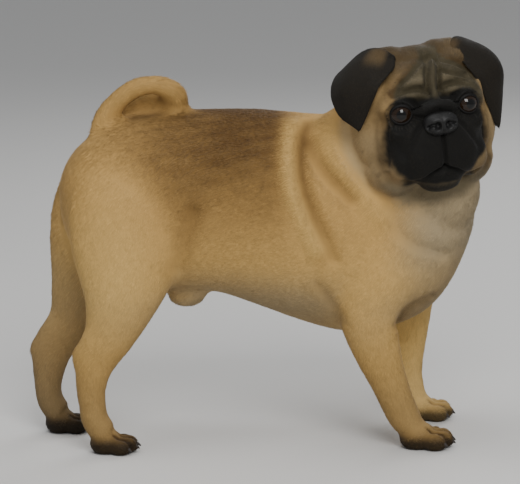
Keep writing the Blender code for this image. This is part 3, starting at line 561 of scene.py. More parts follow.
@dataclass
class Skin:
    """The dog's one closed skin, which lies inside the solids by the depth of its coat.

    A row of head_creases is a fold's width, its height, its darkness, its side (0 for both) and its line in
    the face's frame; the darkness is painted shade along the fold, and a painted highlight on a ridge where
    it is below 0. A row of body_creases is a width, a height and a line in x and z, and left_shares says how
    strong each of them is on the left. A row of lid_rings is a radius round the eye's axis, a width and a
    height.
    """

    build: Build
    voxel: float = 0.0025
    body_rounds: int = 17
    head_rounds: int = 6
    fold_spread: float = 1.15
    fold_share: float = 0.9
    sink_share: float = 1.3
    rise_share: float = 1.1
    gap_depth: float = 0.0015
    left_shares: tuple[float, ...] = (0.6, 0.6, 0.6, 0.6, 0.0, 0.8, 0.0, 0.3)
    toe_gaps: tuple[Rows, ...] = (
        ((0.006, -0.0085, 0.0175), (0.016, -0.0098, 0.0135), (0.024, -0.0108, 0.006)),
        ((0.012, 0.0, 0.0185), (0.021, 0.0, 0.0142), (0.029, 0.0, 0.006)),
        ((0.006, 0.0085, 0.0175), (0.016, 0.0098, 0.0135), (0.024, 0.0108, 0.006)),
    )
    # The third number of each row is painted shade along the fold, or a painted highlight on a ridge where it
    # is below 0.
    head_creases: tuple[Crease, ...] = (
        (0.0022, -0.0034, 0.45, 0, (
            (0.041, 0.0054, 0.01), (0.042, 0.0054, 0.021), (0.04, 0.0054, 0.029), (0.036, 0.0054, 0.0365),
            (0.022, 0.004, 0.0415), (0.02, 0.0, 0.043),
        )),
        (0.003, 0.0012, 0.06, 0, ((0.043, 0.0, 0.012), (0.041, 0.0, 0.028), (0.034, 0.0, 0.037))),
        (0.0024, -0.0036, 0.4, 0, (
            (0.041, 0.0065, 0.0175), (0.0395, 0.0134, 0.0203), (0.0385, 0.023, 0.02),
            (0.038, 0.0315, 0.018), (0.034, 0.038, 0.013),
        )),
        (0.0024, -0.003, 0.4, -1, (
            (0.02, -0.0056, 0.0431), (0.028, -0.0139, 0.0373), (0.032, -0.0197, 0.0311),
            (0.0377, -0.0266, 0.025), (0.036, -0.0335, 0.019),
        )),
        (0.0024, -0.0026, 0.36, 1, (
            (0.025, 0.0099, 0.0394), (0.0274, 0.0235, 0.036), (0.026, 0.0359, 0.0294),
            (0.0292, 0.042, 0.0206),
        )),
        (0.0022, -0.0022, 0.3, 1, (
            (0.037, 0.0075, 0.0325), (0.038, 0.013, 0.03), (0.0385, 0.0211, 0.0266),
            (0.033, 0.0344, 0.0238),
        )),
        (0.0034, 0.002, -0.14, 0, ((0.04, 0.01, 0.0262), (0.038, 0.018, 0.025), (0.035, 0.027, 0.0225))),
        (0.0032, 0.0014, -0.06, 0, ((0.043, 0.01, 0.0145), (0.043, 0.02, 0.0157), (0.041, 0.03, 0.0133))),
        (0.0024, -0.0036, 0.2, 0, (
            (0.061, 0.0, 0.002), (0.058, 0.01, -0.001), (0.054, 0.018, -0.009), (0.05, 0.025, -0.021),
            (0.045, 0.031, -0.033),
        )),
        (0.0018, -0.003, 0.2, 0, ((0.062, 0.0, -0.017), (0.062, 0.0, -0.03), (0.06, 0.0, -0.046))),
        (0.0022, -0.0044, 0.2, 0, (
            (0.06, 0.0, -0.046), (0.06, 0.009, -0.05), (0.056, 0.019, -0.056), (0.047, 0.029, -0.057),
            (0.034, 0.037, -0.05),
        )),
        (0.003, -0.003, 0.34, 0, (
            (0.038, 0.0425, 0.002), (0.04, 0.0436, -0.013), (0.036, 0.0442, -0.025), (0.031, 0.043, -0.04),
        )),
        (0.0034, -0.0022, 0.2, 0, (
            (0.024, 0.049, -0.004), (0.026, 0.05, -0.022), (0.024, 0.048, -0.042), (0.02, 0.042, -0.056),
        )),
    )
    body_creases: tuple[tuple[float, float, Rows], ...] = (
        (0.0075, 0.0026, (
            (0.0551, 0.2874), (0.0458, 0.2853), (0.0384, 0.2765), (0.0358, 0.2568), (0.0368, 0.2366),
            (0.0419, 0.2158), (0.0497, 0.1951), (0.056, 0.18),
        )),
        (0.0056, -0.0036, (
            (0.0565, 0.288), (0.0482, 0.272), (0.046, 0.2559), (0.0464, 0.2416), (0.049, 0.2271),
            (0.0543, 0.2104), (0.0602, 0.1955), (0.0655, 0.1825), (0.069, 0.172),
        )),
        (0.009, 0.0028, (
            (0.069, 0.2806), (0.068, 0.2683), (0.0742, 0.254), (0.0862, 0.238), (0.098, 0.225),
            (0.1109, 0.208),
        )),
        (0.0046, -0.0028, (
            (0.0545, 0.266), (0.0585, 0.2545), (0.064, 0.245), (0.071, 0.2371), (0.0785, 0.23),
            (0.0862, 0.2222),
        )),
        (0.0052, -0.0024, (
            (0.0905, 0.287), (0.092, 0.2684), (0.1075, 0.2392), (0.1211, 0.2101), (0.1268, 0.1922),
            (0.1428, 0.1795), (0.164, 0.171),
        )),
        (0.006, -0.0022, ((-0.046, 0.212), (-0.051, 0.192), (-0.062, 0.163))),
        (0.0035, -0.0024, ((0.124, 0.11), (0.1325, 0.1225), (0.1455, 0.1285), (0.156, 0.132))),
        (0.0048, -0.0016, ((0.057, 0.147), (0.063, 0.1385), (0.07, 0.127), (0.076, 0.115))),
    )
    lid_rings: Rows = ((0.01, 0.0022, 0.001), (0.014, 0.0022, -0.0012))
    inset: float = 0.16
    lowest: float = 0.0004

    def merged(self) -> Shape:
        """The forms as one closed surface by a voxel remesh, its quads cut in four on the face and paws."""
        made = put("merging", gathered(self.build.forms()).mesh("merging", np.zeros(3)))
        change = made.modifiers.new("merge", "REMESH")
        change.mode, change.voxel_size, change.adaptivity = "VOXEL", self.voxel, 0.0
        whole = bmesh.new()
        whole.from_object(made, bpy.context.evaluated_depsgraph_get())
        old = made.data
        bpy.data.objects.remove(made)
        bpy.data.meshes.remove(old)
        centres = np.array([face.calc_center_median() for face in whole.faces])
        near = self.build.head().into(centres)
        fine = (near[:, 0] > 0.0) & (near[:, 2] > -0.076) & (np.linalg.norm(near, axis=1) < 0.088)
        fine |= (centres[:, 2] < 0.019) & (centres[:, 2] > 0.002)
        whole.faces.ensure_lookup_table()
        edges = {edge for i in np.flatnonzero(fine) for edge in whole.faces[i].edges}
        bmesh.ops.subdivide_edges(whole, edges=list(edges), cuts=1, use_grid_fill=True)
        bmesh.ops.triangulate(whole, faces=whole.faces)
        made_mesh = bpy.data.meshes.new("merged")
        whole.to_mesh(made_mesh)
        whole.free()
        points = np.empty(len(made_mesh.vertices) * 3, np.float32)
        made_mesh.vertices.foreach_get("co", points)
        corners = np.empty(len(made_mesh.loops), np.int32)
        made_mesh.loops.foreach_get("vertex_index", corners)
        bpy.data.meshes.remove(made_mesh)
        return Shape(points.reshape(-1, 3).astype(float), [corners.reshape(-1, 3)]).outward()

    def soften(self, shape: Shape, share: Array, rounds: int) -> None:
        """Pulls each point towards its neighbours' middle, by its own share, the given number of rounds."""
        corners = shape.faces[0]
        ends = np.vstack([corners[:, [0, 1]], corners[:, [1, 2]], corners[:, [2, 0]]])
        ends = np.unique(np.sort(ends, axis=1), axis=0)
        a, b = np.r_[ends[:, 0], ends[:, 1]], np.r_[ends[:, 1], ends[:, 0]]
        size = len(shape.points)
        count = np.bincount(a, minlength=size)[:, None]
        for _ in range(rounds):
            total = stacked(*(np.bincount(a, shape.points[b, axis], size) for axis in range(3)))
            shape.points += (total / count - shape.points) * share[:, None]

    def nearness(self, points: Array) -> dict[Part, tuple[Array, Array]]:
        """How far each point is from each part's axis in the part's radii, with the lie that the part gives.

        Args:
            points: the points.

        Returns:
            For each part, the distance over the radius, and the direction of the hair before it is laid flat.
        """
        build, head = self.build, self.build.head()
        down = np.array([0.0, 0.0, -1.0])
        found: dict[Part, tuple[Array, Array]] = {}

        def along_path(path: Array, radii: Array, ways: Array) -> tuple[Array, Array]:
            """The least distance to the path over its radius, and the way there."""
            gap = np.linalg.norm(points[:, None] - path[None], axis=2) / radii[None]
            nearest = gap.argmin(axis=1)
            return gap[np.arange(len(points)), nearest], ways[nearest]

        x, top, bottom, half, _ = smooth_rows(build.trunk, 2).T
        path = stacked(x, build.spine_y(x), (top + bottom) / 2)
        back = -unit(np.gradient(path, axis=0))
        radii = np.maximum((half + (top - bottom) / 2) / 2, 0.03)
        found[Part.TRUNK] = along_path(path, radii, back + 0.62 * down)
        rows = smooth_rows(build.neck, 4)[6:]
        away = -unit(np.gradient(rows[:, :3], axis=0))
        found[Part.NECK] = along_path(rows[:, :3], rows[:, 3:].mean(axis=1), away + 0.45 * down)
        for part, stations in build.legs.items():
            rows = smooth_rows(stations, 4)[4:]
            way = unit(np.gradient(rows[:, :3], axis=0)) + np.array([-0.25, 0.0, 0.0])
            place, size = build.paw_place(part)
            toes = place.out(np.array([[0.004, 0.0, 0.010], [0.016, 0.0, 0.008]]) * size)
            forward = place.turn @ np.array([1.0, 0.0, -0.45])
            radii = np.r_[rows[:, 3:].mean(axis=1), 0.017, 0.017]
            way = np.vstack([way, forward, forward])
            found[part] = along_path(np.vstack([rows[:, :3], toes]), radii, way)
        rows = smooth_rows(build.tail, 4)[3:]
        way = unit(np.gradient(rows[:, :3], axis=0))
        found[Part.TAIL] = along_path(rows[:, :3], rows[:, 3:].mean(axis=1), way)
        near = head.into(points)
        gap = np.linalg.norm(near / np.array([0.052, 0.052, 0.060]), axis=1)
        from_nose = near - np.array([0.066, 0.0, -0.012])
        combed = unit(from_nose) + np.array([0.0, 0.0, -0.30]) * step(np.abs(near[:, 1:2]), 0.010, 0.040)
        found[Part.HEAD] = gap, combed @ head.turn.T
        return found

    def finish_form(self) -> None:
        """Merges, smooths, creases and insets the skin, and works out what its points carry."""
        shape = self.merged()
        head = self.build.head()
        near = head.into(shape.points)
        spread = np.linalg.norm((near - (0.012, 0.0, -0.008)) / (0.064, 0.070, 0.070), axis=1)
        self.on_head = step(-spread, -1.14, -0.98)
        low = np.clip((shape.points[:, 2] - 0.018) / 0.05, 0.18, 1.0)
        self.soften(shape, 0.5 * low * (1.0 - self.on_head), self.body_rounds)
        self.soften(shape, 0.5 * self.on_head, self.head_rounds)
        self.crease(shape)
        self.open_lids(shape)
        found = self.nearness(shape.points)
        ratios = stacked(*(found[part][0] for part in Part))
        self.part = ratios.argmin(axis=1)
        weights = np.exp(-3.6 * (ratios - ratios.min(axis=1, keepdims=True)))
        weights /= weights.sum(axis=1, keepdims=True)
        lie = sum(weights[:, part.value, None] * unit(found[part][1]) for part in Part)
        self.weights = weights
        self.length, self.width, self.crowd = self.coat_sizes(shape.points)
        self.points = shape.points - shape.normals() * (self.inset * self.length)[:, None]
        self.points[:, 2] = np.maximum(self.points[:, 2], self.lowest)
        self.triangles = shape.faces[0]
        self.normals = Shape(self.points, [self.triangles]).normals()
        self.lie = laid(lie, self.normals)
        self.marks = MarksAndPaintedLight(self.build, self).shares(self.points, self.normals)

    def share(self, *parts: Part) -> Array:
        """How much of each point belongs to these parts."""
        return self.weights[:, [part.value for part in parts]].sum(axis=1)

    @staticmethod
    def face_frame(near: Array) -> Array:
        """The head's points with the forehead's midline, which bends left as it climbs, laid straight."""
        z = near[:, 2]
        bend = 0.0015 * step(z, 0.0, 0.012) + 0.0075 * np.clip((z - 0.010) / 0.031, 0, 1) ** 2.8
        made = near.copy()
        made[:, 1] -= bend * (1 - np.clip(np.abs(near[:, 1]) / 0.034, 0, 1) ** 2)
        return made

    @staticmethod
    def from_line(near: Array, side: int, line: Rows) -> Array:
        """The distance of the face's points from a fold, with depth counted at 0.35.

        Args:
            near: the points in the face's frame.
            side: -1 or 1 where the fold is on one side only, and 0 where it is mirrored.
            line: the fold's points.

        Returns:
            The distances.
        """
        scale = np.array([0.35, 1.0, 1.0])
        shown = near * scale
        if side == 0:
            shown[:, 1] = np.abs(shown[:, 1])
        return away_from(shown, smooth_rows(line, 4) * scale)

    def fold_strength(self, index: int, points: Array) -> Array:
        """How strong a fold of the body is at each point: none on the spine, all of it on the right side."""
        across = points[:, 1] - self.build.spine_y(points[:, 0])
        side = 1.0 - (1.0 - self.left_shares[index]) * step(across, -0.010, 0.010)
        return side * step(np.abs(across), 0.010, 0.030) * (1 - self.on_head)

    def between_toes(self, points: Array) -> Array:
        """How near each point is to the grooves between the toes."""
        found = np.zeros(len(points))
        for part in self.build.legs:
            place, size = self.build.paw_place(part)
            near = place.into(points) / size
            close = np.flatnonzero((np.abs(near) < 0.035).all(axis=1))
            for line in self.toe_gaps:
                away = away_from(near[close], np.array(line))
                found[close] = np.maximum(found[close], bell(away, 0.0022))
        return found

    def crease(self, shape: Shape) -> None:
        """Raises and sinks the face and the body along their folds, each the height of its bell."""
        head, points = self.build.head(), shape.points
        near = self.face_frame(head.into(points))
        face = np.zeros(len(points))
        for width, height, _, side, line in self.head_creases:
            share = bell(self.from_line(near, side, line), width) * (near[:, 0] > 0.004)
            face += height * (self.sink_share if height < 0 else self.rise_share) * share
        for side in (1, -1):
            eye = self.build.eye_place(side).into(points)
            off_axis = np.hypot(eye[:, 1], eye[:, 2] * 1.12)
            for radius, width, height in self.lid_rings:
                face += height * bell(off_axis - radius, width) * (eye[:, 0] > 0)
        body = np.zeros(len(points))
        for index, (width, height, line) in enumerate(self.body_creases):
            near_fold = bell(away_from(points[:, [0, 2]], smooth_rows(line, 4)), width * self.fold_spread)
            body += height * self.fold_share * near_fold * self.fold_strength(index, points)
        rise = face * (self.on_head > 0.02) + body * (points[:, 2] > 0.09)
        rise = rise - self.gap_depth * self.between_toes(points)
        shape.points = points + shape.normals() * rise[:, None]

    def open_lids(self, shape: Shape) -> None:
        """Presses the skin behind the eyeball inside the lids' oval, and holds it off the ball round it."""
        eye = self.build.eye
        for side in (1, -1):
            place = self.build.eye_place(side)
            near = place.into(shape.points)
            reach = np.linalg.norm(near, axis=1)
            way = unit(near)
            wide, high = eye.opening[0] / eye.radius, eye.opening[1] / eye.radius
            oval = np.hypot(way[:, 1] / wide, way[:, 2] / high)
            inside = (oval < 1.0) & (near[:, 0] > 0) & (reach < eye.radius + 0.012)
            outside = (oval >= 1.0) & (near[:, 0] > -0.002) & (reach < eye.radius + 0.0012)
            reach = np.where(inside, eye.radius - 0.0022, np.where(outside, eye.radius + 0.0012, reach))
            moved = (inside | outside)[:, None]
            shape.points = np.where(moved, place.out(way * reach[:, None]), shape.points)

    def coat_sizes(self, points: Array) -> Array:
        """The coat's length and width in metres and its tufts to a square metre, at each point.

        Args:
            points: the skin's points.

        Returns:
            The three sizes, one after the other.
        """
        near = self.build.head().into(points)
        x, height = points[:, 0], points[:, 2]
        trunk, tail, leg = self.share(Part.TRUNK), self.share(Part.TAIL), self.share(*LEGS)
        length = 0.0064 - 0.0010 * leg + 0.0004 * tail
        length = length + 0.0016 * step(-x, 0.10, 0.16) * step(height, 0.10, 0.15) * (1 - tail)
        length = length - 0.0025 * leg * below(height, 0.012, 0.060)
        length = length - 0.0014 * trunk * below(height, 0.125, 0.170) * below(x, 0.03, 0.08)
        for _, rise, line in self.body_creases:
            away = away_from(points[:, [0, 2]], smooth_rows(line, 4))
            length = length - (0.0018 if rise < 0 else 0.0012) * trunk * bell(away, 0.012)
        head_length = 0.0042 - 0.0020 * step(near[:, 0], 0.015, 0.045)
        length = np.maximum(length, 0.0034) * (1 - self.on_head) + head_length * self.on_head
        width = 0.00034 + 0.058 * length
        return np.stack([length, width, (1.68 + 0.34 * self.on_head) / (0.5 * width * length)])

    def hide(self) -> Hide:
        """The skin as a surface that grows a coat."""
        places = np.zeros((len(self.points), 2))
        for part in Part:
            chosen = self.part == part.value
            if chosen.any():
                places[chosen] = self.unwrap(part, self.points[chosen])
        return Hide(self.points, self.triangles, self.normals, self.lie, self.marks, self.length,
                    self.width, self.crowd, places)

    def unwrap(self, part: Part, points: Array) -> Array:
        """The skin laid out flat, 0 to 1 each way: along the part's axis, and the angle round it.

        Args:
            part: the part that the points are on.
            points: the points.

        Returns:
            Two numbers for each point.
        """
        if part is Part.HEAD:
            near = self.build.head().into(points)
            along = np.arccos(np.clip(unit(near)[:, 0], -1, 1)) / math.pi
            angle = np.arctan2(near[:, 1], near[:, 2])
        elif part in (Part.TRUNK, Part.NECK):
            along = np.clip((points[:, 0] + 0.18) / 0.40, 0, 1)
            angle = np.arctan2(points[:, 1] - self.build.spine_y(points[:, 0]), points[:, 2] - 0.20)
        else:
            rows = smooth_rows(self.build.tail if part is Part.TAIL else self.build.legs[part], 6)[:, :3]
            nearest = np.linalg.norm(points[:, None] - rows[None], axis=2).argmin(axis=1)
            off = points - rows[nearest]
            along = nearest / len(rows) if part is Part.TAIL else np.clip(points[:, 2] / 0.26, 0, 1)
            angle = np.arctan2(off[:, 1], off[:, 2 if part is Part.TAIL else 0])
        return stacked(along, angle / (2 * math.pi) + 0.5)


@dataclass
class MarksAndPaintedLight:
    """Where the coat is black, dusky, pale or grey, from named places on the body and the head, with painted
    shade and painted light among them.

    A row of the painted fold shade is a body fold's index, the darkness of its painted shade and its width. A
    mole is a centre and a radius, and each brow is some heights and half the width of the dark forehead
    there.
    """

    build: Build
    skin: Skin
    # Painted shade along the bottoms of the sunk body folds.
    painted_fold_shade: Rows = (
        (3, 0.42, 0.0058), (4, 0.08, 0.006), (5, 0.25, 0.01), (6, 0.42, 0.005), (7, 0.24, 0.006),
    )
    moles: tuple[tuple[Triple, float], ...] = (
        ((0.0175, 0.057, -0.0266), 0.0024), ((0.025, 0.048, -0.048), 0.002),
    )
    # A painted shadow under the chin: a dark line across it.
    chin_shadow: Rows = (
        (0.04, -0.027, -0.0575), (0.043, -0.01, -0.063), (0.0455, 0.01, -0.064), (0.04, 0.024, -0.059),
    )
    brow_right: Rows = (
        (0.008, 0.018, 0.025, 0.031, 0.037, 0.043), (0.033, 0.031, 0.0275, 0.0215, 0.0155, 0.009),
    )
    brow_left: Rows = (
        (0.008, 0.0206, 0.0294, 0.036, 0.0394, 0.043), (0.044, 0.043, 0.037, 0.0245, 0.013, 0.009),
    )

    def wander(self, points: Array, size: float) -> Array:
        """An even, slow ripple from -1 to 1, from sines along three slanted directions."""
        ways = np.array([[1.0, 0.7, -0.4], [-0.5, 1.0, 0.8], [0.6, -0.8, 1.0]]) * (2 * math.pi / size)
        phase = points @ ways.T
        return (np.sin(phase[:, 0]) + np.sin(phase[:, 1] * 1.31 + 1.0) + np.sin(phase[:, 2] * 1.73 + 2.0)) / 3

    def shares(self, points: Array, normals: Array) -> Array:
        """The share of each mark at each point, one column for each mark."""
        near = self.build.head().into(points)
        on_head = self.skin.on_head
        body = 1 - on_head
        top = np.where(np.isin(self.skin.part, (Part.HIND_RIGHT.value, Part.HIND_LEFT.value)), 0.0180, 0.0150)
        toes = (self.skin.part >= Part.FORE_RIGHT.value) * below(points[:, 2] / top, 0.45, 1.0)
        made = np.zeros((len(points), len(Mark)))
        made[:, Mark.BLACK.value] = self.black(near, points) * on_head + 0.80 * toes * body
        made[:, Mark.DUSK.value] = self.face_dusk(near) * on_head + self.body_dusk(points) * body
        made[:, Mark.PALE.value] = self.pale(points) * body + 0.15 * on_head
        made[:, Mark.GREY.value] = self.grey(points, normals) * body + self.face_grey(near) * on_head
        return np.clip(made, 0, 1)

    def fold(self, index: int, points: Array, width: float) -> Array:
        """How near each point is to one of the body's folds, as strong as the fold is there."""
        away = away_from(points[:, [0, 2]], smooth_rows(self.skin.body_creases[index][2], 4))
        return bell(away, width) * self.skin.fold_strength(index, points)

    @staticmethod
    def squarish(first: Array, second: Array, power: float) -> Array:
        """How far out a point is of a squarish disc: (|a|^p + |b|^p)^(1/p), which is 1 at the rim."""
        return (np.abs(first) ** power + np.abs(second) ** power) ** (1 / power)

    def black(self, near: Array, points: Array) -> Array:
        """The mask: a squarish disc over muzzle and bridge, an oval round each eye, a few faint moles, and a
        painted shadow under the chin.
        """
        x, y, z = near.T
        edge = 1.0 + 0.018 * self.wander(points, 0.013)
        front = step(x, 0.018, 0.027)
        corner = y - 0.001 + 0.013 * step(y, 0.010, 0.030) * step(-z, 0.030, 0.048)
        disc = self.squarish(corner / 0.0438, (z + 0.0238) / 0.0362, 2.6)
        eyes = self.squarish((np.abs(y) - 0.0250) / 0.0152, (z - 0.0005) / 0.0150, 2.3)
        mask = np.maximum(step(-disc * edge, -1.07, -0.94) * front, step(-eyes * edge, -1.14, -0.90) * front)
        for mole, radius in self.moles:
            away = np.linalg.norm(stacked(x, np.abs(y), z) - mole, axis=1)
            mask = np.maximum(mask, 0.30 * step(-away, -radius * 1.5, -radius * 0.7))
        # The painted shadow under the chin.
        away = self.skin.from_line(near, 1, self.chin_shadow)
        return np.maximum(mask, 0.92 * bell(away, 0.0056, 4) * (x > 0.02))

    def forehead(self, near: Array) -> Array:
        """The share of the dark forehead, which widens from the crown down to the eyes' outer corners."""
        x, y, z = self.skin.face_frame(near).T
        bound = np.where(y < 0, np.interp(z, *self.brow_right), np.interp(z, *self.brow_left))
        return step(bound - np.abs(y), -0.0030, 0.0035) * step(x, 0.004, 0.016) * step(z, -0.004, 0.004)

    def face_dusk(self, near: Array) -> Array:
        """The forehead's dark tone, painted shade in the bottoms of its folds with a painted highlight on
        some ridges, the bridge, and the cheeks' duller tone.
        """
        x, y, z = near.T
        brow = self.forehead(near)
        outer = 0.30 + 0.40 * step(z, 0.018, 0.040)
        outer = outer + 0.16 * step(z, 0.038, 0.048) * step(-np.abs(y), -0.030, -0.012)
        outer = outer * step(x, -0.030, -0.005) + 0.22
        cheek = 0.42 + 0.10 * step(x, -0.004, 0.012) - 0.38 * step(np.abs(y), 0.046, 0.058)
        low = below(z, -0.012, 0.008)
        made = 0.90 * brow + (1 - brow) * (outer * (1 - low) + cheek * low)
        straight = self.skin.face_frame(near)
        # Painted shade along the face's folds, and a painted highlight on the ridges whose darkness is below
        # 0.
        for width, _, dark, side, line in self.skin.head_creases:
            away = self.skin.from_line(straight, side, line)
            made = made + dark * bell(away, width * 1.15) * step(x, 0.0, 0.012)
        smudge = np.linalg.norm(near - np.array([0.034, 0.024, 0.031]), axis=1)
        made = made + 0.15 * step(-smudge, -0.012, -0.004)
        made = made + 0.22 * step(y, 0.012, 0.026) * step(-z, 0.034, 0.048) * step(x, 0.010, 0.030)
        bridge = step(-np.abs(y), -0.020, -0.011) * step(x, 0.030, 0.042) * step(-z, -0.020, -0.008)
        return np.clip(made + 0.30 * bridge, 0, 0.98)

    def face_grey(self, near: Array) -> Array:
        """Grey hair over the forehead, the crown, the chin and the cheeks."""
        z = near[:, 2]
        chin = step(-z, 0.050, 0.064) * step(near[:, 0], 0.0, 0.02)
        made = 0.35 * chin + 0.72 * self.forehead(near) + 0.25 * step(z, 0.024, 0.042)
        return np.clip(made + 0.42 + 0.20 * step(-z, -0.002, 0.020), 0, 1)

    def body_dusk(self, points: Array) -> Array:
        """The dark back behind the pale shoulder band, partly the saddle and partly painted shade; painted
        shade in the folds' bottoms, under the trunk, on the lower legs and the far hind leg, between the toes
        and on the tail's inner turn; painted light on the far foreleg; the tail's darker tone and the toes.
        """
        x, z = points[:, 0], points[:, 2]
        share = self.skin.share
        tail, fore = share(Part.TAIL), share(Part.FORE_RIGHT, Part.FORE_LEFT)
        trunk = np.clip(1 - tail - 0.8 * fore, 0, 1)
        thigh = np.linalg.norm((points[:, [0, 2]] - (-0.126, 0.185)) / (0.066, 0.082), axis=1)
        # The dark back: partly the coat's saddle and partly painted shade, deepening towards the top of the
        # back.
        saddle_and_painted_shade = step(z, 0.156, 0.262) * step(x, -0.160, -0.048) * step(-x, -0.053, -0.024)
        streaks = 0.92 + 0.10 * self.wander(points * (0.35, 1.0, 1.0), 0.022)
        saddle_and_painted_shade = saddle_and_painted_shade * step(thigh, 0.62, 1.15) * streaks
        made = trunk * (0.86 * saddle_and_painted_shade * (1 - 0.95 * self.fold(0, points, 0.0080)) + 0.05)
        made += 0.04 * trunk * step(-x, 0.06, 0.15) * step(z, 0.20, 0.26)
        # The top of the back darker still, saddle and painted shade together.
        made += 0.14 * saddle_and_painted_shade * step(z, 0.235, 0.275) * step(x, -0.06, 0.0)
        made += 0.10 * step(z, 0.262, 0.300) * step(x, 0.064, 0.080) * trunk
        made += 0.05 * trunk * step(x, 0.03, 0.07)
        # Painted shade along the groove behind the pale shoulder band, fainter low down.
        strong = 1 - 0.60 * below(z, 0.165, 0.225)
        made += (self.fold(1, points, 0.0072) * 0.52 + self.fold(1, points, 0.0034) * 0.14) * strong
        # Painted shade along the bottoms of the other sunk folds.
        for index, dark, width in self.painted_fold_shade:
            made += dark * self.fold(index, points, width)
        legs = share(*LEGS)
        # The toes' dark hair, and painted shade that darkens the lower legs.
        made += legs * (0.40 * below(z, 0.008, 0.022) + 0.42 * below(z, 0.03, 0.15))
        # Painted shade darkening the underside of the trunk.
        made += 0.14 * (1 - legs) * below(z, 0.118, 0.165) * (1 - tail)
        # Painted shade darkens the far hind leg, and painted light lightens the far foreleg.
        made += 0.16 * share(Part.HIND_LEFT) * below(z, 0.16, 0.22) - 0.36 * share(Part.FORE_LEFT)
        # Painted shade in the gaps between the toes.
        made += 0.45 * self.skin.between_toes(points)
        # The tail's darker tone, with painted shade on its inner turn.
        made += tail * (0.20 + 0.16 * step(points[:, 1], 0.002, 0.014) * step(-x, 0.062, 0.080))
        return np.clip(made, 0, 0.96)

    def pale(self, points: Array) -> Array:
        """The pale bands on the raised folds, the thigh, the tail and the lower flank, and painted light on
        the far foreleg.
        """
        x, z = points[:, 0], points[:, 2]
        made = 0.40 * below(z, 0.140, 0.215) + 0.60 * self.fold(0, points, 0.0070)
        made += 0.30 * self.fold(2, points, 0.0100)
        thigh = np.linalg.norm((points[:, [0, 2]] - (-0.126, 0.172)) / (0.050, 0.082), axis=1)
        made += 0.42 * step(-thigh, -1.1, -0.3)
        # Painted light on the far foreleg.
        made += 0.12 * self.skin.share(Part.TAIL) + 0.6 * self.skin.share(Part.FORE_LEFT)
        return np.clip(made, 0, 1)

    def grey(self, points: Array, normals: Array) -> Array:
        """The greyer hair of the belly, the chest, the feet and the far hind leg."""
        x, z = points[:, 0], points[:, 2]
        belly = below(z, 0.125, 0.175) * step(-normals[:, 2], -0.15, 0.55) * step(z, 0.075, 0.125)
        belly = belly * (1 - 0.7 * self.skin.share(*LEGS))
        chest = step(x, 0.105, 0.160) * step(z, 0.130, 0.180)
        lower = 0.20 * below(z, 0.02, 0.09) + 0.35 * self.skin.share(Part.HIND_LEFT)
        return np.clip(0.75 * belly + 0.90 * chest + lower, 0, 1)


# The ears' middle surfaces in the head's frame, both as if on its left: rows from root to tip, front to back
LEFT_EAR: tuple[Rows, ...] = (
    ((0.014, 0.021, 0.03), (0.004, 0.026, 0.031), (-0.008, 0.0325, 0.029), (-0.018, 0.037, 0.022)),
    ((0.017, 0.027, 0.0425), (0.006, 0.033, 0.05), (-0.008, 0.0405, 0.0485), (-0.021, 0.047, 0.037)),
    ((0.0215, 0.03, 0.04), (0.014, 0.0405, 0.0465), (0.001, 0.0535, 0.0452), (-0.013, 0.062, 0.0367)),
    ((0.026, 0.036, 0.032), (0.022, 0.048, 0.0355), (0.011, 0.0644, 0.0359), (-0.006, 0.0729, 0.0277)),
    ((0.029, 0.042, 0.0215), (0.0285, 0.052, 0.022), (0.02, 0.0684, 0.0225), (0.004, 0.0747, 0.017)),
    ((0.03, 0.047, 0.0085), (0.03, 0.055, 0.0075), (0.022, 0.0662, 0.0052), (0.01, 0.0716, 0.0034)),
    ((0.0305, 0.0508, -0.0058), (0.03, 0.057, -0.008), (0.0248, 0.0635, -0.009), (0.0175, 0.066, -0.009)),
    (
        (0.0285, 0.0552, -0.0215), (0.028, 0.0578, -0.0232), (0.0268, 0.0598, -0.0245),
        (0.0252, 0.0606, -0.024),
    ),
)
RIGHT_EAR: tuple[Rows, ...] = (
    ((0.014, 0.019, 0.03), (0.004, 0.025, 0.031), (-0.008, 0.032, 0.029), (-0.018, 0.037, 0.022)),
    ((0.0185, 0.021, 0.0458), (0.007, 0.029, 0.0515), (-0.008, 0.038, 0.0495), (-0.021, 0.0465, 0.039)),
    ((0.0272, 0.025, 0.039), (0.017, 0.039, 0.0475), (0.002, 0.053, 0.0442), (-0.013, 0.062, 0.036)),
    ((0.0335, 0.0338, 0.0335), (0.0285, 0.0465, 0.037), (0.014, 0.0622, 0.0356), (-0.005, 0.0712, 0.029)),
    ((0.0365, 0.0423, 0.0265), (0.0325, 0.052, 0.027), (0.021, 0.0676, 0.0255), (0.004, 0.0757, 0.0195)),
    ((0.035, 0.0477, 0.017), (0.033, 0.056, 0.015), (0.025, 0.0682, 0.0135), (0.012, 0.0754, 0.0095)),
    ((0.032, 0.053, 0.006), (0.0305, 0.058, 0.004), (0.026, 0.0665, 0.0022), (0.018, 0.0722, 0.0018)),
    ((0.0275, 0.059, -0.0065), (0.027, 0.0605, -0.008), (0.026, 0.0625, -0.008), (0.0245, 0.0635, -0.007)),
)


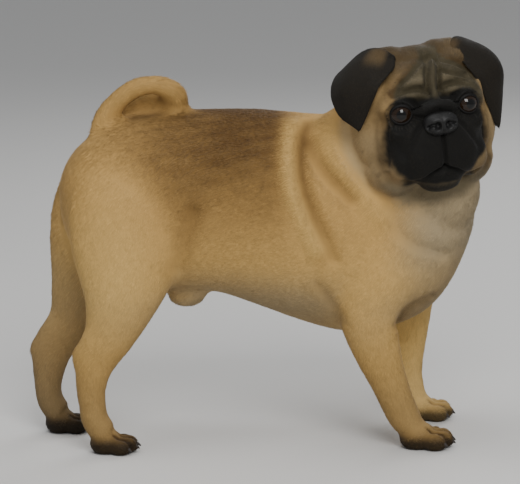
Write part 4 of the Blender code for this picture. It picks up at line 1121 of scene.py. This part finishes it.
@dataclass
class Ear:
    """One folded ear: a thin leather sheet from its root on the skull to its tip in front of the cheek.

    A tuft is its length and its width, and crowd is the tufts to a square metre beyond the root and at it.
    """

    build: Build
    side: int
    rows: tuple[Rows, ...]
    thickness: float = 0.0026
    tuft: tuple[float, float] = (0.0024, 0.00058)
    crowd: tuple[float, float] = (2600000.0, 1000000.0)

    def sheet(self, across: int = 8, along: int = 8) -> Array:
        """The ear's middle surface, by rows from root to tip and points from front to back."""
        crossed = np.array([smooth_rows(row, across) for row in self.rows])
        grid = smooth_rows(crossed.reshape(len(crossed), -1), along).reshape(-1, crossed.shape[1], 3)
        return grid * (1, self.side, 1)

    def hide(self) -> Hide:
        """The sheet with both its faces, rounded at the rim: middle + normal * half * sin(u)^0.5 each way.

        One face takes the left half of the map OFBake and the other the right half.
        """
        grid = self.sheet()
        rows, columns = grid.shape[:2]
        normal = unit(np.cross(np.gradient(grid, axis=1), np.gradient(grid, axis=0)) * self.side)
        rim = np.maximum(np.sin(np.linspace(0.02, math.pi - 0.02, columns)) ** 0.5, 0.12)
        fall = np.minimum(np.linspace(1.15, 0.6, rows), np.sqrt(np.linspace(1.0, 0.0, rows) * 14 + 0.02))
        half = (self.thickness / 2 * fall[:, None] * rim)[..., None]
        loops = np.concatenate([grid + normal * half, (grid - normal * half)[:, ::-1]], axis=1)
        head = self.build.head()
        shape = closed_rings(head.out(loops))
        size = len(shape.points)
        v = np.repeat(np.linspace(0, 1, rows), 2 * columns)
        u = np.tile(np.r_[np.linspace(0, 1, columns), np.linspace(1, 0, columns)], rows)
        down = np.gradient(np.concatenate([grid, grid[:, ::-1]], axis=1), axis=0).reshape(-1, 3) @ head.turn.T
        down = np.vstack([down, down[:1], down[-1:]])
        v, u = np.r_[v, 0.0, 1.0], np.r_[u, 0.5, 0.5]
        marks = np.zeros((size, len(Mark)))
        if self.side < 0:
            fawn = below(v, 0.26, 0.40) * step(u, 0.12, 0.24) * below(u, 0.34, 0.52)
        else:
            fawn = below(v, 0.16, 0.28) * below(u, 0.20, 0.45)
        marks[:, Mark.BLACK.value] = 0.97 - 0.52 * fawn
        marks[:, Mark.DUSK.value] = 0.64 + 0.18 * fawn
        marks[:, Mark.GREY.value] = 0.50
        inner = np.tile(np.r_[np.zeros(columns), np.ones(columns)], rows)
        places = stacked(u * 0.5 + 0.5 * np.r_[inner, 0.0, 0.0], v)
        normals = shape.normals()
        length, width = (np.full(size, value) for value in self.tuft)
        return Hide(shape.points, shape.triangles(), normals, laid(down, normals), marks, length, width,
                    np.where(v > 0.12, *self.crowd), places)


@dataclass
class Eye:
    """One eye: the ball with its bulging front, and the moist dark rims of its lids."""

    build: Build
    side: int

    def ball(self, rows: int = 56) -> tuple[Shape, Array]:
        """The eyeball about its axis: radius R (1 + 0.05 exp(-(t / 0.55)^2)) at the angle t from its front.

        Args:
            rows: rows from front to back, with as many points round.

        Returns:
            The shape, and the angle from the front at each point.
        """
        t = np.linspace(0.02, math.pi - 0.02, rows)[:, None]
        turn = np.linspace(0.0, 2 * math.pi, rows, endpoint=False)[None, :]
        radius = self.build.eye.radius * (1.0 + 0.05 * bell(t, 0.55))
        off_axis = radius * np.sin(t)
        rings = stacked(radius * np.cos(t), off_axis * np.cos(turn), off_axis * np.sin(turn))
        shape = closed_rings(rings)
        angle = np.r_[np.broadcast_to(t, rings.shape[:2]).ravel(), 0.0, math.pi]
        return Shape(self.build.eye_place(self.side).out(shape.points), shape.faces).outward(), angle

    def lids(self, around: int = 72, steps: int = 12) -> Shape:
        """The rim of the lids: a tube along the oval opening, thicker at its top and sunk at both corners."""
        eye = self.build.eye
        t = np.linspace(0.0, 2 * math.pi, around, endpoint=False)
        y = eye.opening[0] * 0.97 * np.cos(t)
        z = eye.opening[1] * 0.97 * np.sin(t)
        reach = eye.radius + 0.0004 - 0.0006 * np.abs(np.cos(t)) ** 6
        path = stacked(np.sqrt(np.maximum(reach**2 - y**2 - z**2, 1e-8)), y, z)
        out = unit(path)
        run = unit(np.roll(path, -1, axis=0) - np.roll(path, 1, axis=0))
        across = np.cross(run, out)
        thick = (0.00095 + 0.00035 * np.clip(np.sin(t), 0, 1))[:, None, None]
        s = np.linspace(0.0, 2 * math.pi, steps, endpoint=False)[None, :, None]
        rings = path[:, None] + thick * (out[:, None] * np.cos(s) + 1.25 * across[:, None] * np.sin(s))
        grid = np.arange(around * steps).reshape(around, steps)
        ahead = np.roll(grid, -1, 1)
        quads = stacked(grid, ahead, np.roll(ahead, -1, 0), np.roll(grid, -1, 0))
        place = self.build.eye_place(self.side)
        return Shape(place.out(rings.reshape(-1, 3)), [quads.reshape(-1, 4)]).outward()


@dataclass
class NosePad:
    """The nose's leather: a squarish ball with two pits, their side slits and the groove down its middle."""

    build: Build
    centre: Triple = (0.0575, 0.0, -0.0085)
    radii: Triple = (0.0085, 0.014, 0.0094)
    power: float = 2.5
    pit: tuple[float, float] = (0.0048, -0.0008)
    slit: Rows = (
        (0.0084, 0.0052, -0.0002), (0.0078, 0.0078, 0.0004), (0.0068, 0.0102, -0.0002),
        (0.005, 0.0128, -0.0016),
    )
    swell: float = 1.03

    def form(self) -> Shape:
        """The pad: the ball, sunk towards its middle along the pits, the slits and the groove."""
        shape = ball((0.0, 0.0, 0.0), np.array(self.radii) * self.swell, None, self.power, 84)
        near = shape.points
        mirrored = stacked(near[:, 0], np.abs(near[:, 1]), near[:, 2])
        front = step(near[:, 0], -0.002, 0.002)
        to_pit = np.hypot(mirrored[:, 1] - self.pit[0], (mirrored[:, 2] - self.pit[1]) * 0.85)
        sink = 0.0042 * bell(to_pit, 0.0026, 4) * front
        to_slit = away_from(mirrored, smooth_rows(self.slit, 4))
        sink = np.maximum(sink, 0.0030 * bell(to_slit, 0.0015) * front)
        groove = 0.0007 * bell(near[:, 1], 0.0008) * step(-near[:, 2], -0.004, 0.002) * front
        wing = 0.0005 * bell(to_pit - 0.0044, 0.0016) * front
        inward = unit(near * (1.0, 0.35, 0.35))
        shape.points = near - inward * (sink + groove - wing)[:, None]
        place = self.build.head()
        return Shape(place.out(shape.points + np.array(self.centre)), shape.faces).outward()


@dataclass
class Claws:
    """The sixteen claws: bent cones whose roots lie inside the toes, thinned along their length by taper."""

    build: Build
    length: float = 0.0078
    radius: float = 0.0020
    taper: Rows = ((0.0, 0.2, 0.4, 0.6, 0.8, 0.93, 1.0), (1.0, 1.0, 0.9, 0.74, 0.52, 0.3, 0.1))

    def form(self) -> Shape:
        """Every claw, each a tube along root + reach (0.86, 0, -0.10 - 0.34 share) that thins to its tip."""
        made = []
        share, thick = np.array(self.taper)
        for part in self.build.legs:
            place, size = self.build.paw_place(part)
            for ahead, across, up in self.build.toes:
                reach = self.length * size * share
                line = stacked(reach * 0.86, 0 * reach, -reach * (0.10 + 0.34 * share))
                line += np.array([(ahead + 0.0052) * size, across * size * 1.03, up * size])
                radii = self.radius * thick * size
                made.append(tube(np.c_[place.out(line), radii, radii * 0.8], 12, 3, (0.0, 0.0, 1.0)))
        return gathered(made)


@dataclass
class Coat:
    """The short coat: flat tufts, each a thin spike of four points that leans from its root along the lie.

    The keel is where the spike's ridge starts, as a share of its length, and how high it is in widths. The
    four points have the tones of shades, and unevenness is the spread of marks and tone from tuft to tuft.
    """

    hide: Hide
    shift: Array
    seed: int
    sunk: float = 0.0003
    lean: tuple[float, float] = (0.06, 0.13)
    veer: float = 0.10
    patch: float = 0.0015
    keel: tuple[float, float] = (0.3, 0.16)
    waist: float = 0.12
    unevenness: tuple[float, float] = (0.035, 0.06)
    shades: tuple[float, ...] = (0.94, 0.94, 1.06, 0.99)

    def grow(self, name: str, chosen: Array, finish: bpy.types.Material) -> bpy.types.Object:
        """Grows the tufts of one piece.

        Args:
            name: the piece's name.
            chosen: which triangles of the hide they stand on.
            finish: the material.

        Returns:
            The piece, with its marks, its shades and the map OFBake.
        """
        rng = np.random.default_rng(self.seed)
        hide, triangles = self.hide, self.hide.triangles[chosen]
        a, b, c = (hide.points[triangles[:, i]] for i in range(3))
        area = np.linalg.norm(np.cross(b - a, c - a), axis=1) / 2
        on = np.repeat(np.arange(len(triangles)), rng.poisson(area * hide.crowd[triangles].mean(axis=1)))
        first, second = rng.random((2, len(on)))
        over = first + second > 1
        first, second = np.where(over, 1 - first, first), np.where(over, 1 - second, second)
        share = stacked(1 - first - second, first, second)

        def carried(values: Array) -> Array:
            """What the hide's points carry, at each root."""
            parts = values[triangles[on]]
            return (parts * share[..., None]).sum(axis=1) if parts.ndim == 3 else (parts * share).sum(axis=1)

        root, normal = carried(hide.points), unit(carried(hide.normals))
        lie = laid(carried(hide.lie), normal)
        length = carried(hide.length) * rng.uniform(0.75, 1.2, len(on))
        width = carried(hide.width) * rng.uniform(0.8, 1.2, len(on))
        turn = rng.normal(0.0, self.veer, len(on))[:, None]
        lie = lie * np.cos(turn) + np.cross(normal, lie) * np.sin(turn)
        lean = rng.uniform(*self.lean, len(on))[:, None]
        way = lie * np.cos(lean) + normal * np.sin(lean)
        side = unit(np.cross(normal, way))
        base = root - normal * self.sunk
        tip = base + way * length[:, None] + normal * self.sunk * 0.6
        tip[:, 2] = np.maximum(tip[:, 2], 0.0003)
        keel = base + way * (self.keel[0] * length[:, None]) + normal * (self.keel[1] * width[:, None])
        half = side * width[:, None] / 2
        waist = base + way * (self.waist * length[:, None])
        points = np.stack([waist + half, waist - half, tip, keel], axis=1).reshape(-1, 3)
        points[:, 2] = np.maximum(points[:, 2], 0.0002)
        start = 4 * np.arange(len(on))[:, None, None]
        corners = (np.array([(0, 3, 2), (3, 1, 2), (0, 1, 3), (1, 0, 2)])[None] + start).reshape(-1, 3)
        made = Shape(points, [corners]).mesh(name, self.shift)
        marks = np.clip(carried(hide.marks) + rng.normal(0, self.unevenness[0], (len(on), 1)), 0, 1)
        carry(made, "marks", "FLOAT_COLOR", np.repeat(marks, 4, axis=0))
        shade = rng.normal(0.0, 1.0, len(on))[:, None] * self.unevenness[1] + np.array(self.shades)[None]
        carry(made, "shade", "FLOAT", shade)
        places = carried(hide.places)
        corner = np.array([(-1, -1), (1, -1), (0, 1), (0, -0.4)]) * self.patch
        spread = (places[:, None] + corner[None]).reshape(-1, 2)[corners.ravel()]
        made.uv_layers.new(name="OFBake").data.foreach_set("uv", spread.astype(np.float32).ravel())
        made.shade_smooth()
        own = np.stack([normal + 0.5 * side, normal - 0.5 * side, normal + 0.15 * way, normal], axis=1)
        made.normals_split_custom_set_from_vertices(unit(own).reshape(-1, 3).tolist())
        made.materials.append(finish)
        LOG.info("%s: %d tufts, %d triangles", name, len(on), 4 * len(on))
        return put(name, made)


@dataclass(frozen=True)
class Tones:
    """The coat's colours as linear shares of red, green and blue."""

    fawn: Triple = (0.52, 0.31, 0.098)
    pale: Triple = (0.69, 0.445, 0.145)
    dusk: Triple = (0.088, 0.044, 0.013)
    smut: Triple = (0.044, 0.036, 0.02)
    grey: Triple = (0.355, 0.285, 0.175)
    black: Triple = (0.008, 0.0075, 0.0065)


@dataclass(frozen=True)
class Finish:
    """What sets one material apart: its plain colour where it has one, and its constants."""

    name: str
    roughness: float
    colour: Triple = (0.5, 0.5, 0.5)
    specular: float = 0.5
    sheen: float = 0.0
    sheen_roughness: float = 0.5
    clear_coat: float = 0.0
    bump: float = 0.2
    grain: float = 1200.0


UNDERCOAT = Finish("undercoat", 0.85, specular=0.12, sheen=0.03, bump=0.35, grain=900.0)
HAIR = Finish("coat", 0.60, specular=0.16, sheen=0.03, sheen_roughness=0.45)
GLASS = Finish("eye", 0.25, (0.009, 0.0045, 0.0022), 0.0, clear_coat=1.0)
LID_RIM = Finish("lid_rim", 0.62, (0.004, 0.0035, 0.0032), 0.12, bump=0.12, grain=2200.0)
NOSE_LEATHER = Finish("nose_leather", 0.50, (0.0045, 0.0043, 0.0042), 0.25, bump=0.22, grain=1500.0)
HORN = Finish("claw", 0.42, (0.020, 0.015, 0.012), bump=0.10, grain=900.0)


class Graph:
    """A node tree under construction, in a material or in a group."""

    def __init__(self, tree: bpy.types.NodeTree) -> None:
        """Holds the tree, emptied."""
        self.tree = tree
        tree.nodes.clear()

    def node(self, kind: str, **values: object) -> bpy.types.Node:
        """Adds a node and sets its properties.

        Args:
            kind: the node's type.
            values: properties of the node by name.

        Returns:
            The node.
        """
        made = self.tree.nodes.new(kind)
        for name, value in values.items():
            setattr(made, name, value)
        return made

    def wire(self, source: object, target: object) -> None:
        """Joins an output to an input, or sets the input to a plain value."""
        if isinstance(source, bpy.types.NodeSocket):
            self.tree.links.new(source, target)
        else:
            target.default_value = source

    def maths(self, operation: str, *values: object) -> bpy.types.NodeSocket:
        """One sum on its values, each an output or a number.

        Args:
            operation: the name of the operation.
            values: its inputs.

        Returns:
            The result's socket.
        """
        made = self.node("ShaderNodeMath", operation=operation)
        for value, socket in zip(values, made.inputs):
            self.wire(value, socket)
        return made.outputs[0]

    def mixed(self, share: object, first: object, second: object, how: str = "MIX") -> bpy.types.NodeSocket:
        """Two colours mixed by a share.

        Args:
            share: 0 keeps the first colour.
            first: a colour or an output.
            second: a colour or an output.
            how: the blend mode.

        Returns:
            The colour's socket.
        """
        made = self.node("ShaderNodeMix", data_type="RGBA", blend_type=how)
        self.wire(share, made.inputs[0])
        self.wire(first if isinstance(first, bpy.types.NodeSocket) else (*first, 1.0), made.inputs[6])
        self.wire(second if isinstance(second, bpy.types.NodeSocket) else (*second, 1.0), made.inputs[7])
        return made.outputs[2]

    def smooth(self, value: object, low: float, high: float) -> bpy.types.NodeSocket:
        """A smooth step from 0 at low to 1 at high."""
        made = self.node("ShaderNodeMapRange", interpolation_type="SMOOTHSTEP")
        for given, socket in zip((value, low, high), made.inputs):
            self.wire(given, socket)
        return made.outputs[0]

    def attribute(self, name: str) -> bpy.types.Node:
        """The node that reads an attribute of the mesh."""
        return self.node("ShaderNodeAttribute", attribute_name=name)

    def noise(self, scale: float, detail: float = 3.0, rough: float = 0.5) -> bpy.types.NodeSocket:
        """Noise over the object's own coordinates.

        Args:
            scale: turns in a metre.
            detail: octaves.
            rough: how strong the finer octaves are.

        Returns:
            The value's socket.
        """
        made = self.node("ShaderNodeTexNoise")
        self.wire(self.node("ShaderNodeTexCoord").outputs["Object"], made.inputs["Vector"])
        made.inputs["Scale"].default_value = scale
        made.inputs["Detail"].default_value = detail
        made.inputs["Roughness"].default_value = rough
        return made.outputs[0]


@dataclass
class Finishes:
    """Makes the materials and the node groups that they share.

    The pupil ends between its two angles from the eye's front, and the iris between its own two.
    """

    tones: Tones = Tones()
    pupil: tuple[float, float] = (0.36, 0.42)
    iris: tuple[float, float] = (0.80, 0.98)

    def coat_group(self) -> bpy.types.NodeTree:
        """The group that turns the marks into the coat's colour: fawn under pale, grey, dusk and black."""
        group = bpy.data.node_groups.new("coat_colour", "ShaderNodeTree")
        face = group.interface
        for name in ("Black", "Dusk", "Pale", "Grey"):
            face.new_socket(name, in_out="INPUT", socket_type="NodeSocketFloat").default_value = 0.0
        face.new_socket("Shade", in_out="INPUT", socket_type="NodeSocketFloat").default_value = 1.0
        face.new_socket("Colour", in_out="OUTPUT", socket_type="NodeSocketColor")
        graph = Graph(group)
        given = graph.node("NodeGroupInput")
        mottle = graph.maths("MULTIPLY_ADD", graph.noise(150.0, 4.0, 0.6), 0.5, -0.25)
        dusk = graph.maths("ADD", given.outputs["Dusk"], graph.maths("MULTIPLY", mottle, 0.30))
        colour = graph.mixed(given.outputs["Pale"], self.tones.fawn, self.tones.pale)
        colour = graph.mixed(given.outputs["Grey"], colour, self.tones.grey)
        dark = graph.mixed(given.outputs["Grey"], self.tones.dusk, self.tones.smut)
        colour = graph.mixed(graph.maths("MAXIMUM", dusk, 0.0), colour, dark)
        colour = graph.mixed(given.outputs["Black"], colour, self.tones.black)
        shade = graph.node("ShaderNodeCombineColor")
        for socket in shade.inputs:
            graph.wire(given.outputs["Shade"], socket)
        colour = graph.mixed(1.0, colour, shade.outputs[0], "MULTIPLY")
        graph.wire(colour, graph.node("NodeGroupOutput").inputs[0])
        return group

    def relief_group(self) -> bpy.types.NodeTree:
        """The group that gives a fine relief as a normal, from noise of a grain that it is told."""
        group = bpy.data.node_groups.new("fine_relief", "ShaderNodeTree")
        face = group.interface
        for name, value in (("Grain", 1200.0), ("Strength", 0.3), ("Depth", 0.0004)):
            face.new_socket(name, in_out="INPUT", socket_type="NodeSocketFloat").default_value = value
        face.new_socket("Normal", in_out="OUTPUT", socket_type="NodeSocketVector")
        graph = Graph(group)
        given = graph.node("NodeGroupInput")
        place = graph.node("ShaderNodeTexCoord")
        cells, cloud = graph.node("ShaderNodeTexVoronoi"), graph.node("ShaderNodeTexNoise")
        for texture in (cells, cloud):
            graph.wire(place.outputs["Object"], texture.inputs["Vector"])
            graph.wire(given.outputs["Grain"], texture.inputs["Scale"])
        bump = graph.node("ShaderNodeBump")
        graph.wire(given.outputs["Strength"], bump.inputs["Strength"])
        graph.wire(given.outputs["Depth"], bump.inputs["Distance"])
        graph.wire(graph.maths("ADD", cells.outputs[0], cloud.outputs[0]), bump.inputs["Height"])
        graph.wire(bump.outputs[0], graph.node("NodeGroupOutput").inputs[0])
        return group

    def shader(self, finish: Finish) -> tuple[bpy.types.Material, Graph, bpy.types.Node]:
        """A new material with its Principled shader, whose constants come from the finish.

        Args:
            finish: the constants.

        Returns:
            The material, its graph and the shader's node.
        """
        material = bpy.data.materials.new(finish.name)
        material.use_nodes = True
        graph = Graph(material.node_tree)
        shader = graph.node("ShaderNodeBsdfPrincipled")
        for name, value in (("Roughness", finish.roughness), ("Specular IOR Level", finish.specular),
                            ("Sheen Weight", finish.sheen), ("Sheen Roughness", finish.sheen_roughness),
                            ("Coat Weight", finish.clear_coat), ("Coat Roughness", 0.02), ("Coat IOR", 1.38)):
            shader.inputs[name].default_value = value
        shader.inputs["Base Color"].default_value = (*finish.colour, 1.0)
        graph.wire(shader.outputs[0], graph.node("ShaderNodeOutputMaterial").inputs[0])
        return material, graph, shader

    def coat(self, finish: Finish, group: bpy.types.NodeTree,
             relief: bpy.types.NodeTree | None) -> bpy.types.Material:
        """The material of skin or tufts: the marks through the coat's colour, with relief on the skin."""
        material, graph, shader = self.shader(finish)
        colour = graph.node("ShaderNodeGroup", node_tree=group)
        marks = graph.attribute("marks")
        split = graph.node("ShaderNodeSeparateColor")
        graph.wire(marks.outputs["Color"], split.inputs[0])
        for name, source in zip(("Black", "Dusk", "Pale"), split.outputs):
            graph.wire(source, colour.inputs[name])
        graph.wire(marks.outputs["Alpha"], colour.inputs["Grey"])
        graph.wire(graph.attribute("shade").outputs["Fac"], colour.inputs["Shade"])
        graph.wire(colour.outputs[0], shader.inputs["Base Color"])
        if relief is not None:
            self.roughen(graph, shader, relief, finish)
        return material

    def roughen(self, graph: Graph, shader: bpy.types.Node, relief: bpy.types.NodeTree,
                finish: Finish) -> None:
        """Gives the shader the fine relief of a finish."""
        fine = graph.node("ShaderNodeGroup", node_tree=relief)
        fine.inputs["Grain"].default_value = finish.grain
        fine.inputs["Strength"].default_value = finish.bump
        graph.wire(fine.outputs[0], shader.inputs["Normal"])

    def leather(self, finish: Finish, relief: bpy.types.NodeTree) -> bpy.types.Material:
        """Pebbled leather: its colour and its damp shine vary a little from place to place."""
        material, graph, shader = self.shader(finish)
        patches = graph.noise(420.0, 3.0, 0.6)
        light = tuple(min(1.0, value * 1.9 + 0.004) for value in finish.colour)
        graph.wire(graph.mixed(patches, finish.colour, light), shader.inputs["Base Color"])
        damp = graph.maths("MULTIPLY_ADD", patches, 0.22, finish.roughness - 0.11)
        graph.wire(damp, shader.inputs["Roughness"])
        self.roughen(graph, shader, relief, finish)
        return material

    def eye(self, finish: Finish) -> bpy.types.Material:
        """The eyeball by the angle from its front: a black pupil, a brown iris with rays, a darker rim."""
        material, graph, shader = self.shader(finish)
        angle = graph.attribute("angle").outputs["Fac"]
        rays = graph.noise(900.0, 3.0, 0.7)
        iris = graph.mixed(rays, finish.colour, tuple(value * 2.4 for value in finish.colour))
        inner = graph.mixed(graph.smooth(angle, *self.pupil), (0.003, 0.003, 0.003), iris)
        whole = graph.mixed(graph.smooth(angle, *self.iris), inner, (0.008, 0.006, 0.005))
        graph.wire(whole, shader.inputs["Base Color"])
        return material


@dataclass
class Studio:
    """A plain pale floor and world, three soft lights, and the camera at the photograph's angle.

    A lamp is its name, its place from the dog's middle, its width and its power. The lens follows from pixel,
    the size of one of the photograph's pixels at the dog, and wide, how many of them it is across.
    """

    aim: Triple = (0.0087, 0.0, 0.174)
    rise: float = 10.0
    roll: float = 1.4
    away: float = 2.3
    pixel: float = 0.00087
    wide: int = 520
    floor_half: float = 6.0
    floor_colour: Triple = (0.62, 0.61, 0.59)
    sky_colour: Triple = (0.95, 0.97, 1.0)
    sky_strength: float = 0.42
    sensor: float = 36.0
    lamps: tuple[tuple[str, Triple, float, float], ...] = (
        ("key", (0.35, -1.7, 1.25), 0.9, 34.0),
        ("top", (-0.5, -0.2, 1.9), 1.4, 16.0),
        ("rear", (0.7, 1.6, 1.2), 1.2, 12.0),
    )

    def set_out(self, shift: Array) -> None:
        """Makes the floor, the world, the lights and the camera."""
        self.lay_floor()
        self.light(shift)
        self.look(shift)

    def lay_floor(self) -> None:
        """The floor and the plain world."""
        corners = self.floor_half * np.array([(-1, -1, 0), (1, -1, 0), (1, 1, 0), (-1, 1, 0)])
        floor = put("floor", Shape(corners, [np.array([[0, 1, 2, 3]])]).mesh("floor", np.zeros(3)))
        material = bpy.data.materials.new("floor")
        material.use_nodes = True
        shader = material.node_tree.nodes["Principled BSDF"]
        shader.inputs["Base Color"].default_value = (*self.floor_colour, 1.0)
        shader.inputs["Roughness"].default_value = 0.7
        floor.data.materials.append(material)
        world = bpy.data.worlds.new("pale")
        world.use_nodes = True
        back = world.node_tree.nodes["Background"]
        back.inputs["Color"].default_value = (*self.sky_colour, 1.0)
        back.inputs["Strength"].default_value = self.sky_strength
        bpy.context.scene.world = world

    def light(self, shift: Array) -> None:
        """Three soft lights: a wide one near the camera, one from above and one from behind."""
        middle = np.array(self.aim) - shift
        for name, place, size, power in self.lamps:
            lamp = bpy.data.lights.new(name, "AREA")
            lamp.size, lamp.energy = size, power
            stand = middle + np.array(place)
            up = np.array([0.0, 0.0, 1.0])
            put(name, lamp).matrix_world = self.facing(stand, unit(stand - middle), up)

    @staticmethod
    def facing(stand: Array, back: Array, up: Array) -> Matrix:
        """The matrix of a lamp or camera that stands there and looks away from back."""
        right = unit(np.cross(up, back))
        made = np.eye(4)
        made[:3, 0], made[:3, 1], made[:3, 2], made[:3, 3] = right, np.cross(back, right), back, stand
        return Matrix(made.tolist())

    def look(self, shift: Array) -> None:
        """The camera: level with the photograph's, its lens set by the pixel's size at the dog."""
        rise, roll = math.radians(self.rise), math.radians(self.roll)
        back = np.array([0.0, -math.cos(rise), math.sin(rise)])
        right = np.array([1.0, 0.0, 0.0])
        up = np.cross(back, right) * math.cos(roll) + right * math.sin(roll)
        camera = bpy.data.cameras.new("camera")
        camera.sensor_width = self.sensor
        camera.lens = self.sensor * self.away / (self.wide * self.pixel)
        thing = put("camera", camera)
        thing.matrix_world = self.facing(np.array(self.aim) - shift + back * self.away, back, up)
        bpy.context.scene.camera = thing


@dataclass
class Pug:
    """The whole dog: skin, ears, eyes, lids, nose, claws and coat, each a piece that rides on the root.

    The coat's pieces meet where x is one of trunk_cuts, or one of head_cuts in the head's frame, and the brow
    meets the muzzle at the height brow_cut.
    """

    build: Build = field(default_factory=Build)
    finishes: Finishes = field(default_factory=Finishes)
    skin_shade: float = 0.90
    trunk_cuts: Triple = (0.075, 0.0, -0.085)
    head_cuts: tuple[float, float] = (0.022, -0.004)
    brow_cut: float = -0.006

    def assemble(self) -> None:
        """Makes every piece and dresses it."""
        self.shift = self.build.shift()
        group, relief = self.finishes.coat_group(), self.finishes.relief_group()
        under = self.finishes.coat(UNDERCOAT, group, relief)
        over = self.finishes.coat(HAIR, group, None)
        skin = Skin(self.build)
        skin.finish_form()
        self.add_hide("skin", skin.hide(), under, "coat", "head", "neck", "torso", "tail", "foreleg_left",
                      "foreleg_right", "hindleg_left", "hindleg_right")
        ears = {"left": Ear(self.build, 1, LEFT_EAR).hide(), "right": Ear(self.build, -1, RIGHT_EAR).hide()}
        for word, hide in ears.items():
            self.add_hide("ear_" + word + "_leather", hide, under, "black_coat", "ear_" + word)
        self.add_face(relief)
        self.grow(skin, ears, over)

    def place(self, thing: bpy.types.Object, slot: str, *nodes: str) -> None:
        """Lets a piece ride on the root and hides the solids that it stands for."""
        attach(thing, "root")
        if nodes:
            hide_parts(*nodes)

    def add(self, name: str, shape: Shape, finish: bpy.types.Material, slot: str,
            *nodes: str) -> bpy.types.Object:
        """Adds a smooth piece.

        Args:
            name: its name.
            shape: its form.
            finish: its material.
            slot: not used.
            nodes: the solids that it stands for.

        Returns:
            The piece.
        """
        thing = put(name, shape.mesh(name, self.shift))
        thing.data.shade_smooth()
        thing.data.materials.append(finish)
        self.place(thing, slot, *nodes)
        LOG.info("%s: %d triangles", name, len(shape.triangles()))
        return thing

    def add_hide(self, name: str, hide: Hide, finish: bpy.types.Material, slot: str, *nodes: str) -> None:
        """Adds a surface that grows a coat, with its marks and shades."""
        thing = self.add(name, Shape(hide.points, [hide.triangles]), finish, slot, *nodes)
        carry(thing.data, "marks", "FLOAT_COLOR", hide.marks)
        carry(thing.data, "shade", "FLOAT", np.full(len(hide.points), self.skin_shade))

    def add_face(self, relief: bpy.types.NodeTree) -> None:
        """Adds the eyes, the lids' rims, the nose pad and the claws."""
        glass = self.finishes.eye(GLASS)
        rim, pad, horn = (self.finishes.leather(finish, relief) for finish in (LID_RIM, NOSE_LEATHER, HORN))
        for word, side in (("left", 1), ("right", -1)):
            eye = Eye(self.build, side)
            shape, angle = eye.ball()
            thing = self.add("eyeball_" + word, shape, glass, "eye", "eye_" + word)
            carry(thing.data, "angle", "FLOAT", angle)
            self.add("lids_" + word, eye.lids(), rim, "nose_leather")
        self.add("nose_pad", NosePad(self.build).form(), pad, "nose_leather", "nose")
        self.add("claws", Claws(self.build).form(), horn, "nose_leather")

    def grow(self, skin: Skin, ears: dict[str, Hide], finish: bpy.types.Material) -> None:
        """Grows the coat piece by piece."""
        hide = skin.hide()
        middle = hide.points[hide.triangles].mean(axis=1)
        kind = skin.part[hide.triangles[:, 0]]
        near = self.build.head().into(middle)
        body = np.isin(kind, (Part.TRUNK.value, Part.NECK.value))
        fore, mid, aft = (middle[:, 0] >= cut for cut in self.trunk_cuts)
        left = middle[:, 1] > self.build.spine_y(middle[:, 0])
        head = kind == Part.HEAD.value
        front, behind = (near[:, 0] > cut for cut in self.head_cuts)
        high = near[:, 2] > self.brow_cut
        free = self.bare(near, middle)
        pieces = (
            ("coat_chest_left", body & fore & left),
            ("coat_chest_right", body & fore & ~left),
            ("coat_shoulder", body & mid & ~fore),
            ("coat_loin", body & aft & ~mid),
            ("coat_rump", body & ~aft),
            ("coat_brow", head & front & high),
            ("coat_muzzle", head & front & ~high),
            ("coat_cheeks", head & behind & ~front),
            ("coat_poll", head & ~behind),
            ("coat_foreleg_left", kind == Part.FORE_LEFT.value),
            ("coat_foreleg_right", kind == Part.FORE_RIGHT.value),
            ("coat_hindleg_left", kind == Part.HIND_LEFT.value),
            ("coat_hindleg_right", kind == Part.HIND_RIGHT.value),
            ("coat_tail", kind == Part.TAIL.value),
        )
        for seed, (name, chosen) in enumerate(pieces, 1):
            self.place(Coat(hide, self.shift, seed).grow(name, chosen & free, finish), "coat")
        for seed, (word, ear) in enumerate(ears.items(), 21):
            every = np.ones(len(ear.triangles), bool)
            self.place(Coat(ear, self.shift, seed).grow("coat_ear_" + word, every, finish), "black_coat")

    def bare(self, near: Array, middle: Array) -> Array:
        """Where tufts may grow: not in the lids' openings, under the nose pad or on the soles.

        Args:
            near: the middles of the skin's triangles in the head's frame.
            middle: the same in the model's frame.

        Returns:
            True for each triangle that may carry tufts.
        """
        free = middle[:, 2] > 0.0012
        pad = NosePad(self.build)
        off = np.abs(near - np.array(pad.centre)) / (np.array(pad.radii) * 0.98)
        free &= (off**pad.power).sum(axis=1) > 1.0
        for side in (1, -1):
            eye = self.build.eye_place(side).into(middle)
            oval = np.hypot(eye[:, 1] / self.build.eye.opening[0], eye[:, 2] / self.build.eye.opening[1])
            free &= (oval > 1.10) | (eye[:, 0] < 0)
        return free


def main() -> None:
    """Builds the dog and its studio."""
    logging.basicConfig(level=logging.INFO, format="%(name)s: %(message)s")
    pug = Pug()
    pug.assemble()
    Studio().set_out(pug.shift)


if __name__ == "__main__":
    main()
